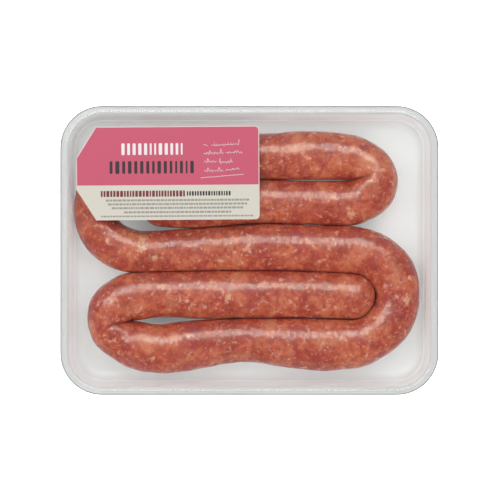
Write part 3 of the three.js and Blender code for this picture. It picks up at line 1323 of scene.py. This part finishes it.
        # The painted shade of the creases and folds
        write_attribute(made, CREASE_SHADE, np.concatenate([[0], np.maximum(dark, painted_crease_shade), [0]]))
        places = np.vstack([ends[0], rings.reshape(-1, 3), ends[1]]) / MM
        height = (places[:, 2] - self.floor / MM) / (self.mean_height / 2 / MM)
        top = np.clip(height - self.patch_from, 0, self.patch_rise) / self.patch_rise
        for name, patches in PATCHES.items():
            amount = np.zeros(len(places))
            for patch in patches:
                apart = (places[:, 0] - patch.x) / patch.long, (places[:, 1] - patch.y) / patch.wide
                amount = np.maximum(amount, np.clip(1 - np.hypot(*apart) / 2, 0, 1))
            write_attribute(made, name, amount * top)
        return made

    def build(self, finish: RawMince) -> None:
        """Builds the sausage, raises its relief and dresses it.

        Args:
            finish: the finish of its skin.
        """
        made = self.skin()
        material = finish.material()
        made = with_tree(made, self.relief_tree(), {
            "Lump Size": self.lump_size,
            "Lump Height": self.lump_height,
            "Crumb Size": self.crumb_size,
            "Crumb Height": self.crumb_height,
            "Seed": self.seed,
            "Material": material,
        })
        settle(made, material, "raw_sausage", "sausage")


def rim_ring(length: float, width: float, radius: float, steps: int) -> np.ndarray:
    """The outline of a rectangle with rounded corners, centred on the origin.

    Args:
        length: its size along X.
        width: its size along Y.
        radius: the corners' radius.
        steps: how many steps each corner's arc and each side gets.

    Returns:
        Its points, running to the left round it.
    """
    corners = ((1, 1, 0), (-1, 1, 90), (-1, -1, 180), (1, -1, 270))
    rows = []
    for k, (sx, sy, start) in enumerate(corners):
        angle = np.radians(start + 90 * np.arange(steps) / steps)
        middle = np.array([sx * (length / 2 - radius), sy * (width / 2 - radius)])
        arc = middle + radius * np.stack([np.cos(angle), np.sin(angle)], axis=1)
        nx, ny, turn = corners[(k + 1) % 4]
        turned = math.radians(start + 90)
        end = middle + radius * np.array([math.cos(turned), math.sin(turned)])
        ahead = np.array([nx * (length / 2 - radius), ny * (width / 2 - radius)])
        ahead = ahead + radius * np.array([math.cos(math.radians(turn)), math.sin(math.radians(turn))])
        side = end + (ahead - end) * (np.arange(steps) / steps)[:, None]
        rows += [arc, side]
    return np.vstack(rows)


@dataclass
class Tray:
    """The formed tray: foot, sloping walls, floor and a rim whose edge turns down."""

    length: float
    width: float
    height: float
    corner: float = 26 * MM
    sheet: float = 1 * MM
    flange: float = 5.2 * MM
    lip_drop: float = 2.4 * MM
    bead: float = 0.8 * MM
    groove: float = 0.5 * MM
    groove_depth: float = 0.22 * MM
    groove_edge: float = 0.04 * MM  # how far below the rim the groove's inner edge lies
    bead_end: float = 125  # where the bead runs into the rim; 0 degrees points out and 90 up
    shade_line: tuple[float, float] = (24, 68)  # the painted shade line shows on the bead between these
    shade_line_fade: tuple[float, float] = (6, 8)  # degrees that it fades over below and above them
    flange_shade: float = 0.45  # painted shade: how far the rim goes towards the grey of the bead's line
    # painted shade that greys the floor and the foot
    floor_shade: float = 0.33
    middle_shade: float = 0.72  # painted shade on the floor under the meat, standing in for the shadow between its runs
    outer_wall_shade: float = 0.38  # painted shade on the outside of the walls, which the glowing floor lights; their insides stay pale
    rim_points: int = 6  # the first section points of the inside, which have the rim's tone
    wall_points: int = 13  # where its pale points end and the floor's tone begins
    draft: float = 5.5  # degrees
    floor_round: float = 7 * MM
    shoulder_round: float = 1.2 * MM
    under_round: float = 0.3 * MM  # where the rim's underside meets its lip
    corner_steps: int = 16
    inner_rings: tuple[float, ...] = (0.25, 0.55, 0.8, 0.93)  # of foot and floor, by their edge

    def arc(
        self, inset: float, z: float, radius: float, start: float, end: float, steps: int
    ) -> list[tuple[float, float]]:
        """An arc of the tray's section.

        Args:
            inset: how far in from the tray's edge its centre lies.
            z: the height of its centre.
            radius: its radius.
            start: where it starts, in degrees; 0 points out and 90 up.
            end: where it ends.
            steps: how many steps it gets.

        Returns:
            The inset and height of each point.
        """
        angles = np.radians(np.linspace(start, end, steps + 1))
        return [(inset - radius * math.cos(a), z + radius * math.sin(a)) for a in angles]

    def profile(self) -> list[tuple[float, float, float]]:
        """The section from the foot round to the floor.

        Returns:
            The inset, height and painted shade of each point.
        """
        slope = math.radians(self.draft)
        round_z = self.sheet + self.floor_round
        round_inset = (
            self.flange + (self.height - round_z) * math.tan(slope) + self.floor_round / math.cos(slope)
        )
        shoulder = self.flange - self.shoulder_round
        under, half = self.height - self.sheet, self.sheet / 2
        bead = self.height - self.bead
        groove = 2 * self.bead + self.groove
        low, high = self.shade_line
        below, above = self.shade_line_fade
        bend, top = self.under_round, self.height - self.shoulder_round
        plain = [
            *self.arc(round_inset, round_z, self.floor_round + self.sheet, -90, -self.draft, steps=12),
            (self.flange - self.sheet, under),
            *self.arc(self.sheet + bend, under - bend, bend, 90, 0, steps=3),
        ]
        lip = [
            *self.arc(half, self.height - self.lip_drop + half, half, 180, 360, steps=8),
            *self.arc(self.bead, bead, self.bead, 0, low - below, steps=2),
        ]
        shade_grey = self.arc(self.bead, bead, self.bead, low, high, steps=4)
        flange = [
            *self.arc(self.bead, bead, self.bead, high + above, self.bead_end, steps=8),
            (groove - self.groove / 2, self.height - self.groove_depth),
            (groove + self.groove / 2, self.height - self.groove_edge),
            (groove + 1.5 * self.groove, self.height),
        ]
        inside = [
            *self.arc(shoulder, top, self.shoulder_round, 90, 180 - self.draft, steps=8),
            *self.arc(round_inset, round_z, self.floor_round, -self.draft, -90, steps=12),
        ]
        # The painted shade of each stretch: full grey on the bead's line, lighter on the rim, the floor and
        # the outside of the walls, none on the insides of the walls
        parts = (
            (plain, self.outer_wall_shade),
            (lip, self.flange_shade),
            (shade_grey, 1.0),
            (flange + inside[: self.rim_points], self.flange_shade),
            (inside[self.rim_points : self.wall_points], 0.0),
            (inside[self.wall_points :], self.floor_shade),
        )
        return [(*point, tone) for points, tone in parts for point in points]

    def build(self, finish: FormedPolypropylene) -> None:
        """Builds the tray and dresses it.

        Args:
            finish: the finish of its sheet.
        """
        rings, edge = [], []
        for inset, z, tone in self.profile():
            length, width = self.length - 2 * inset, self.width - 2 * inset
            ring = rim_ring(length, width, self.corner - inset, self.corner_steps)
            rings.append(np.column_stack([ring, np.full(len(ring), z)]))
            edge += [tone] * len(ring)
        foot, floor = (
            [np.column_stack([outer[:, :2] * share, outer[:, 2]]) for share in self.inner_rings]
            for outer in (rings[0], rings[-1])
        )
        around, clear = len(rings[0]), len(floor) // 2
        # The foot and the outer floor rings take the floor's painted shade, and the middle of the floor the
        # darker painted shade under the meat
        beneath = [self.floor_shade] * (len(foot) * around + 1)
        middle = [self.floor_shade] * (clear * around)
        middle += [self.middle_shade] * ((len(floor) - clear) * around + 1)
        made = closed_loft(
            "tray_shell", np.array(foot + rings + floor[::-1]), np.zeros(3), np.array([0, 0, self.sheet])
        )
        write_attribute(made, PAINTED_SHADE, np.array(beneath + edge + middle))
        settle(made, finish.material(), "tray_plastic", "tray")


@dataclass
class Film:
    """The clear film sealed on the rim, with faint ripples where it was stretched."""

    low: Vector
    high: Vector
    corner: float = 24.4 * MM
    thickness: float = 0.06 * MM
    lift: float = 0.08 * MM  # keeps the ripples above the rim
    ripple: float = 0.05 * MM
    rays: int = 14  # ripples that run outwards near the rim
    ray_height: float = 0.55  # of a ripple's
    ray_squeeze: float = 0.75  # along X, so that they stand evenly round the longer tray
    ray_peak: float = 0.75  # of the way out
    ray_reach: float = 0.22
    swell: tuple[float, float] = (31 * MM, 23 * MM)  # the slow ripple over the whole film
    swell_phase: tuple[float, float] = (1.3, 0.4)
    swell_height: float = 0.7
    rings: int = 36
    corner_steps: int = 20

    def height_at(self, x: np.ndarray, y: np.ndarray, share: np.ndarray) -> np.ndarray:
        """The height of the film's lower face.

        Args:
            x: places along X.
            y: places along Y.
            share: 0 in the middle and 1 at the edge.

        Returns:
            The heights.
        """
        taut = np.clip(1 - ((share - self.ray_peak) / self.ray_reach) ** 2, 0, 1)
        rays = np.sin(self.rays * np.arctan2(y, x * self.ray_squeeze)) * taut
        along, aside = (
            np.sin(at / size + phase) for at, size, phase in zip((x, y), self.swell, self.swell_phase)
        )
        swell = along * aside * np.clip(1 - share**6, 0, 1)  # dies away at the rim
        return self.low.z + self.lift + self.ripple * (self.ray_height * rays + self.swell_height * swell)

    def build(self, finish: LiddingFilm) -> None:
        """Builds the film and dresses it.

        Args:
            finish: the finish of the film.
        """
        size = self.high - self.low
        edge = rim_ring(size.x, size.y, self.corner, self.corner_steps)
        shares = np.linspace(0, 1, self.rings + 1)[1:]
        under, over = [], []
        for share in shares:
            x, y = (edge * share).T
            z = self.height_at(x, y, np.full(len(x), share))
            under.append(np.column_stack([x, y, z]))
            over.append(np.column_stack([x, y, z + self.thickness]))
        middle = self.height_at(np.zeros(1), np.zeros(1), np.zeros(1))[0]
        rings = np.array(under + over[::-1])
        made = closed_loft(
            "film_sheet", rings, np.array([0, 0, middle]), np.array([0, 0, middle + self.thickness])
        )
        settle(made, finish.material(), "clear_film", "film")


@dataclass
class Label:
    """The tag-shaped label: its paper, two printed fields, and the bars and pen strokes on them."""

    bottom: float
    top: float
    length: float = 113.8 * MM
    width: float = 58.1 * MM
    centre: tuple[float, float] = (-50.7 * MM, 48 * MM)
    tilt: float = 0.4  # degrees
    corner: float = 2.8 * MM
    least_corner: float = 0.3 * MM
    corner_points: int = 9
    cut: tuple[float, float] = (12.3 * MM, 19.3 * MM)
    cut_shrink: tuple[float, float] = (0.45, 0.3)  # of each cut side, by the inset
    border: float = 0.5 * MM
    field_split: float = -7.4 * MM  # where the upper field ends
    ink: float = 0.02 * MM
    bar_round: float = 0.16  # of a bar's corners, by its sides
    weld: float = 0.001  # of a bar's sides, within which its points are one
    pen: float = 0.46 * MM

    def outline(self, inset: float) -> np.ndarray:
        """The label's outline in its own frame.

        Args:
            inset: how far it is drawn in.

        Returns:
            The points of the outline.
        """
        x, y = self.length / 2 - inset, self.width / 2 - inset
        cut_x, cut_y = (cut - inset * shrink for cut, shrink in zip(self.cut, self.cut_shrink))
        radius = max(self.corner - inset, self.least_corner)
        points = []
        for sign, start in ((-1, -90), (1, 0)):
            angles = np.radians(start + np.linspace(0, 90, self.corner_points))
            middle = np.array([x - radius, sign * (y - radius)])
            points.append(middle + radius * np.stack([np.cos(angles), np.sin(angles)], axis=1))
        left = np.array([(cut_x - x, y), (-x, y - cut_y), (-x, cut_y - y), (cut_x - x, -y)])
        return np.vstack([*points, left])

    def clipped(self, outline: np.ndarray, level: float, keep_above: bool) -> np.ndarray:
        """Keeps the part of a convex outline above or below a level line.

        Args:
            outline: the outline's points.
            level: the line's Y.
            keep_above: whether the part above it is kept.

        Returns:
            The outline of the kept part.
        """
        sign = 1 if keep_above else -1
        kept = []
        for a, b in zip(outline, np.roll(outline, -1, axis=0)):
            if sign * (a[1] - level) >= 0:
                kept.append(a)
            if (a[1] - level) * (b[1] - level) < 0:
                kept.append(a + (b - a) * (level - a[1]) / (b[1] - a[1]))
        return np.array(kept)

    def placed(self, flat: np.ndarray, z: float) -> np.ndarray:
        """Turns points of the label's own frame into the frame of the part.

        Args:
            flat: the points' X and Y.
            z: their height.

        Returns:
            The points.
        """
        cos, sin = math.cos(math.radians(self.tilt)), math.sin(math.radians(self.tilt))
        turned = flat @ np.array([[cos, sin], [-sin, cos]]) + np.array(self.centre)
        return np.column_stack([turned, np.full(len(flat), z)])

    def plate(self, name: str, outline: np.ndarray, low: float, high: float) -> bpy.types.Object:
        """A flat plate over an outline.

        Args:
            name: its name.
            outline: its outline in the label's frame.
            low: the height of its lower face.
            high: the height of its upper face.

        Returns:
            The plate.
        """
        count = len(outline)
        points = np.vstack([self.placed(outline, low), self.placed(outline, high)])
        sides = [(k, (k + 1) % count, count + (k + 1) % count, count + k) for k in range(count)]
        faces = [tuple(range(count))[::-1], tuple(range(count, 2 * count)), *sides]
        return mesh_object(name, points, faces, smooth=False)

    def row_tree(self) -> bpy.types.NodeTree:
        """The geometry nodes that lay a row of bars of uneven length, as a printed line reads.

        Returns:
            The tree.
        """
        tree, given, output = geometry_tree("PrintedRow", {
            "Start": ("NodeSocketVector", (0.0, 0.0, 0.0)),
            "Length": ("NodeSocketFloat", 0.05),
            "Height": ("NodeSocketFloat", 0.001),
            "Thickness": ("NodeSocketFloat", 0.00002),
            "Bars": ("NodeSocketInt", 8),
            "Shortest": ("NodeSocketFloat", 0.5),
            "Gap Share": ("NodeSocketFloat", 0.25),
            "Seed": ("NodeSocketInt", 1),
            "Material": ("NodeSocketMaterial", None),
        })
        line = add_node(tree, "GeometryNodeMeshLine", {"Count": given.outputs["Bars"]})
        width = add_node(
            tree,
            "FunctionNodeRandomValue",
            {2: given.outputs["Shortest"], 3: 1.0, "Seed": given.outputs["Seed"]},
            data_type="FLOAT",
        ).outputs[1]
        pitch = add_node(tree, "ShaderNodeMath", {0: width, 1: given.outputs["Gap Share"]})
        sums = add_node(tree, "GeometryNodeAccumulateField", {0: pitch.outputs[0]}, data_type="FLOAT")
        full = add_node(
            tree,
            "ShaderNodeMath",
            {0: sums.outputs["Total"], 1: given.outputs["Gap Share"]},
            operation="SUBTRACT",
        )
        scale = add_node(
            tree, "ShaderNodeMath", {0: given.outputs["Length"], 1: full.outputs[0]}, operation="DIVIDE"
        )
        half = add_node(
            tree, "ShaderNodeMath", {0: width, 1: 0.5, 2: sums.outputs["Trailing"]}, operation="MULTIPLY_ADD"
        )
        middle = add_node(
            tree, "ShaderNodeMath", {0: half.outputs[0], 1: scale.outputs[0]}, operation="MULTIPLY"
        )
        along = add_node(tree, "ShaderNodeCombineXYZ", {"X": middle.outputs[0]})
        place = add_node(tree, "ShaderNodeVectorMath", {0: along.outputs[0], 1: given.outputs["Start"]})
        points = add_node(
            tree, "GeometryNodeSetPosition", {"Geometry": line.outputs[0], "Position": place.outputs[0]}
        )
        long = add_node(tree, "ShaderNodeMath", {0: width, 1: scale.outputs[0]}, operation="MULTIPLY")
        size = add_node(
            tree,
            "ShaderNodeCombineXYZ",
            {"X": long.outputs[0], "Y": given.outputs["Height"], "Z": given.outputs["Thickness"]},
        )
        frame = add_node(tree, "GeometryNodeCurvePrimitiveQuadrilateral", {"Width": 1.0, "Height": 1.0})
        soft = add_node(
            tree,
            "GeometryNodeFilletCurve",
            {"Curve": frame.outputs[0], "Radius": self.bar_round, "Count": 3},
            mode="POLY",
        )
        face = add_node(tree, "GeometryNodeFillCurve", {"Curve": soft.outputs[0]}, mode="NGONS")
        back = add_node(tree, "GeometryNodeFlipFaces", {"Mesh": face.outputs[0]})
        raised = add_node(tree, "GeometryNodeExtrudeMesh", {"Mesh": face.outputs[0], "Offset Scale": 1.0})
        both = add_node(tree, "GeometryNodeJoinGeometry", {"Geometry": raised.outputs[0]})
        tree.links.new(back.outputs[0], both.inputs[0])
        bar = add_node(
            tree, "GeometryNodeMergeByDistance", {"Geometry": both.outputs[0], "Distance": self.weld}
        )
        bars = add_node(
            tree,
            "GeometryNodeInstanceOnPoints",
            {"Points": points.outputs[0], "Instance": bar.outputs[0], "Scale": size.outputs[0]},
        )
        end_tree(tree, given, output, bars.outputs[0])
        return tree

    def rows(self, name: str, rows: list[PrintRow], tree: bpy.types.NodeTree, ink: Ink) -> None:
        """Prints rows of bars in one ink.

        Args:
            name: the piece's name.
            rows: the rows.
            tree: the tree that lays a row.
            ink: the ink.
        """
        material = CoatedPaper(ink).material()
        made = []
        for k, row in enumerate(rows):
            empty = mesh_object(f"{name}_{k}", np.zeros((0, 3)), [], smooth=False)
            made.append(with_tree(empty, tree, {
                "Start": (row.x * MM, row.y * MM, 0.0),
                "Length": row.length * MM,
                "Height": row.height * MM,
                "Thickness": self.ink,
                "Bars": row.bars,
                "Shortest": row.shortest,
                "Gap Share": row.gap,
                "Seed": row.seed,
                "Material": material,
            }))
        piece = joined(name, made)
        self.lay(piece)
        settle(piece, material, "label_paper")

    def lay(self, piece: bpy.types.Object) -> None:
        """Moves print from the label's frame onto its face, just below the top of the solid label.

        Args:
            piece: the print.
        """
        flat = np.array([v.co for v in piece.data.vertices])
        moved = self.placed(flat[:, :2], 0.0)
        moved[:, 2] = self.top - 1.5 * self.ink + flat[:, 2]
        piece.data.vertices.foreach_set("co", moved.ravel())

    def stroke_tree(self) -> bpy.types.NodeTree:
        """The geometry nodes that draw a flat pen stroke along a path.

        Returns:
            The tree.
        """
        tree, given, output = geometry_tree("PenStroke", {
            "Width": ("NodeSocketFloat", 0.0003),
            "Thickness": ("NodeSocketFloat", 0.00002),
            "Material": ("NodeSocketMaterial", None),
        })
        path = add_node(tree, "GeometryNodeMeshToCurve", {"Mesh": given.outputs["Geometry"]})
        level = add_node(tree, "GeometryNodeSetCurveNormal", {"Curve": path.outputs[0]}, mode="Z_UP")
        nib = add_node(
            tree,
            "GeometryNodeCurvePrimitiveQuadrilateral",
            {"Width": given.outputs["Width"], "Height": given.outputs["Thickness"]},
        )
        stroke = add_node(
            tree,
            "GeometryNodeCurveToMesh",
            {"Curve": level.outputs[0], "Profile Curve": nib.outputs[0], "Fill Caps": True},
        )
        end_tree(tree, given, output, stroke.outputs[0])
        return tree

    def note(self) -> None:
        """Draws the pen strokes on the upper field."""
        material = CoatedPaper(Ink.PALE_PINK).material()
        tree = self.stroke_tree()
        made = []
        for k, stroke in enumerate(NOTE):
            points = stroke.path()
            mesh = bpy.data.meshes.new(f"stroke_{k}")
            mesh.from_pydata(points.tolist(), [(i, i + 1) for i in range(len(points) - 1)], [])
            line = bpy.data.objects.new(mesh.name, mesh)
            bpy.context.scene.collection.objects.link(line)
            made.append(with_tree(line, tree, {
                "Width": self.pen, "Thickness": self.ink, "Material": material,
            }))
        piece = joined("label_note", made)
        self.lay(piece)
        settle(piece, material, "label_paper")

    def build(self) -> None:
        """Builds the label and all that is printed on it."""
        # The fields stand a little proud of the paper and the print of the fields, and all of it
        # stays below the top of the solid label
        paper_top = self.top - 3 * self.ink
        paper = self.plate("label_sheet", self.outline(0), self.bottom, paper_top)
        settle(paper, CoatedPaper(Ink.PAPER).material(), "label_paper", "label")
        inner = self.outline(self.border)
        fields = (("label_upper_field", Ink.PINK, True), ("label_lower_field", Ink.CREAM, False))
        for name, ink, above in fields:
            part = self.clipped(inner, self.field_split, above)
            field = self.plate(name, part, paper_top - self.ink, paper_top + self.ink)
            settle(field, CoatedPaper(ink).material(), "label_paper")
        tree = self.row_tree()
        for name, (ink, rows) in PRINT.items():
            self.rows(name, rows, tree, ink)
        self.note()


@dataclass(frozen=True)
class PrintRow:
    """A row of printed bars: its start, its length and its bars, in millimetres."""

    x: float
    y: float
    length: float
    height: float
    bars: int
    shortest: float = 0.5  # of the bars, by the longest
    gap: float = 0.3  # between bars, by the longest
    seed: int = 1


PRINT: dict[str, tuple[Ink, list[PrintRow]]] = {
    "label_title_light": (Ink.WHITE, [PrintRow(-28.7, 15.0, 38.0, 7.2, 12, 0.4, 0.75, 3)]),
    "label_title_dark": (Ink.CHARCOAL, [PrintRow(-36.1, 3.65, 52.3, 7.8, 15, 0.4, 0.7, 5)]),
    "label_heading": (Ink.MAROON, [PrintRow(-41.7, -12.7, 52.3, 3.8, 27, 0.5, 0.3, 8)]),
    "label_heading_small": (Ink.CHARCOAL, [PrintRow(11.8, -12.7, 27.1, 2.8, 17, 0.5, 0.45, 2)]),
    "label_small_print": (
        Ink.GREY,
        [
            PrintRow(-38.6, -16.8, 89.1, 1.3, 40, 0.3, 0.12, 11),
            PrintRow(-37.4, -19.2, 86.6, 1.3, 39, 0.3, 0.12, 12),
            PrintRow(-34.9, -21.6, 81.6, 1.3, 37, 0.3, 0.12, 13),
            PrintRow(-27.4, -24.2, 66.6, 1.3, 30, 0.3, 0.12, 14),
            PrintRow(-41.7, -26.7, 94.6, 1.0, 44, 0.3, 0.12, 15),
        ],
    ),
}


@dataclass(frozen=True)
class PenStroke:
    """A pen stroke that wanders up and down as handwriting does, in millimetres."""

    x: float
    y: float
    end: float
    rise: float  # by its end
    swing: float = 0.8
    wave: float = 1.7
    tall: float = 2.0  # how far its tall letters stand above the rest

    def path(self) -> np.ndarray:
        """Draws the stroke.

        Returns:
            Its points in the label's frame, in metres.
        """
        length = self.end - self.x
        turns = max(1.0, length / self.wave)
        t = np.linspace(0, 1, max(3, int(10 * turns)))
        phase = 2 * np.pi * turns * t
        # The slower beats never fall in with the swing, so that no two loops are alike
        lean = 0.3 * self.swing * np.sin(phase + self.x)
        beat = 0.7 + 0.3 * np.sin(0.37 * phase + 2 * self.y)
        x = self.x + length * t + lean
        y = self.y + self.rise * t + self.swing * beat * np.sin(phase)
        y += self.tall * np.maximum(0, np.sin(0.23 * phase + 3 * self.x)) ** 5 * np.maximum(0, np.sin(phase))
        return np.column_stack([x, y, np.zeros(len(t))]) * MM


NOTE: tuple[PenStroke, ...] = (
    PenStroke(22.6, 17.1, 24.9, 0.2, 1.0, 2.3),
    PenStroke(27.0, 17.2, 44.4, 0.9),
    PenStroke(22.6, 11.8, 34.6, 0.5),
    PenStroke(36.4, 12.2, 46.1, 0.3),
    PenStroke(23.0, 6.6, 30.5, 0.2),
    PenStroke(31.9, 6.5, 40.4, 0.4),
    PenStroke(23.0, 0.9, 34.9, 0.3),
    PenStroke(36.4, 1.1, 44.0, 0.6, 1.2),
    PenStroke(20.4, -3.1, 47.1, 2.1, 0.06, 13.0, 0.0),
)


@dataclass(frozen=True)
class SoftBox:
    """A rectangular studio lamp that faces the tray."""

    name: str
    azimuth: float  # degrees from +X towards +Y
    elevation: float
    distance: float  # metres, as its size is
    size: tuple[float, float]
    power: float  # watts
    glossy: bool = True  # whether it shows as a reflection
    diffuse: bool = True  # whether it lights matt surfaces
    colour: str = "ffffff"

    def build(self) -> None:
        """Hangs the lamp."""
        lamp = bpy.data.lights.new(self.name, "AREA")
        lamp.shape = "RECTANGLE"
        lamp.size, lamp.size_y = self.size
        lamp.energy = self.power
        lamp.color = linear(self.colour)[:3]
        a, e = math.radians(self.azimuth), math.radians(self.elevation)
        place = Vector((math.cos(a) * math.cos(e), math.sin(a) * math.cos(e), math.sin(e))) * self.distance
        made = bpy.data.objects.new(self.name, lamp)
        made.visible_glossy = self.glossy
        made.visible_diffuse = self.diffuse
        made.location = place
        made.rotation_euler = (-place).to_track_quat("-Z", "Y").to_euler()
        bpy.context.scene.collection.objects.link(made)


@dataclass
class Studio:
    """The pale floor, the lamps and the camera straight above the tray."""

    rim: float  # height that the picture's scale holds at
    camera_distance: float = 2.4
    picture: int = 500  # pixels on each side
    scale: float = 0.6212 * MM  # of one pixel at the rim
    centre: tuple[float, float] = (249.4, 250.4)  # the part's origin in the picture
    sensor: float = 36.0
    far_clip: float = 20.0
    floor_colour: str = "f2f2f2"
    floor_roughness: float = 0.8
    floor_size: float = 3.0  # half its side
    floor_glow: float = 0.95  # away from the tray, so that its shadow stays faint
    glow_beneath: float = 0.85  # under the tray, whose sheet lets some of it through
    footprint: tuple[float, float] = (107 * MM, 79 * MM)  # half sizes of the place under the tray
    glow_edge: float = 4 * MM  # past the footprint, over which the one glow turns to the other
    floor_z: float = -0.05 * MM  # a hair below the foot, so that the two never lie in one plane
    sky: float = 0.25
    lamps: tuple[SoftBox, ...] = (
        SoftBox("sheen_softbox", 104, 57, 1.7, (2.35, 0.86), 38, diffuse=False, colour="ecfff4"),
        SoftBox("key_softbox", 100, 68, 1.5, (1.9, 1.0), 10.3, glossy=False),
        SoftBox("fill_right", 0, 52, 1.8, (1.2, 1.6), 4.2, glossy=False),
        SoftBox("fill_left", 180, 52, 1.8, (1.2, 1.6), 5.8, glossy=False),
        SoftBox("fill_front", -90, 54, 1.8, (1.6, 1.2), 7.5, glossy=False),
    )

    def floor(self) -> None:
        """Lays the floor, white enough that it carries no more than a faint shadow."""
        half = self.floor_size
        corners = ((-half, -half), (half, -half), (half, half), (-half, half))
        points = np.array([(x, y, self.floor_z) for x, y in corners])
        made = mesh_object("studio_floor", points, [(0, 1, 2, 3)])
        material, tree, shader = start_material("white_floor", {
            "Base Color": linear(self.floor_colour),
            "Roughness": self.floor_roughness,
            "Emission Color": linear("ffffff"),
        })
        place = add_node(tree, "ShaderNodeTexCoord").outputs["Object"]
        apart = add_node(tree, "ShaderNodeVectorMath", {0: place}, operation="ABSOLUTE").outputs[0]
        past = add_node(
            tree, "ShaderNodeVectorMath", {0: apart, 1: (*self.footprint, 0.0)}, operation="SUBTRACT"
        ).outputs[0]
        sides = add_node(tree, "ShaderNodeSeparateXYZ", {0: past})
        far = add_node(
            tree, "ShaderNodeMath", {0: sides.outputs[0], 1: sides.outputs[1]}, operation="MAXIMUM"
        )
        glow = add_node(
            tree,
            "ShaderNodeMapRange",
            {
                "Value": far.outputs[0],
                "From Max": self.glow_edge,
                "To Min": self.glow_beneath,
                "To Max": self.floor_glow,
            },
        )
        tree.links.new(glow.outputs[0], shader.inputs["Emission Strength"])
        made.data.materials.append(material)

    def camera(self) -> None:
        """Hangs the camera over the tray, looking straight down."""
        view = bpy.data.cameras.new("camera")
        view.sensor_width = self.sensor
        view.lens = self.sensor * self.camera_distance / (self.picture * self.scale)
        view.clip_end = self.far_clip
        made = bpy.data.objects.new("camera", view)
        half = self.picture / 2
        made.location = (
            (half - self.centre[0]) * self.scale,
            (self.centre[1] - half) * self.scale,
            self.rim + self.camera_distance,
        )
        bpy.context.scene.collection.objects.link(made)
        bpy.context.scene.camera = made

    def build(self) -> None:
        """Sets up the whole studio."""
        scene = bpy.context.scene
        world = bpy.data.worlds.new("studio")
        world.use_nodes = True
        world.node_tree.nodes["Background"].inputs["Color"].default_value = linear("ffffff")
        world.node_tree.nodes["Background"].inputs["Strength"].default_value = self.sky
        scene.world = world
        scene.view_settings.view_transform = "Standard"
        self.floor()
        for lamp in self.lamps:
            lamp.build()
        self.camera()


def main() -> None:
    """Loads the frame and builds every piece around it."""
    logging.basicConfig(level=logging.INFO, format="%(name)s %(message)s")
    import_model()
    tray_low, tray_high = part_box("tray")
    size = tray_high - tray_low
    Studio(rim=tray_high.z).build()
    Tray(length=size.x, width=size.y, height=size.z).build(FormedPolypropylene())
    Sausage(floor=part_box("sausage")[0].z).build(RawMince())
    Film(*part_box("film")).build(LiddingFilm())
    label_low, label_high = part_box("label")
    Label(bottom=label_low.z, top=label_high.z).build()


if __name__ == "__main__":
    main()
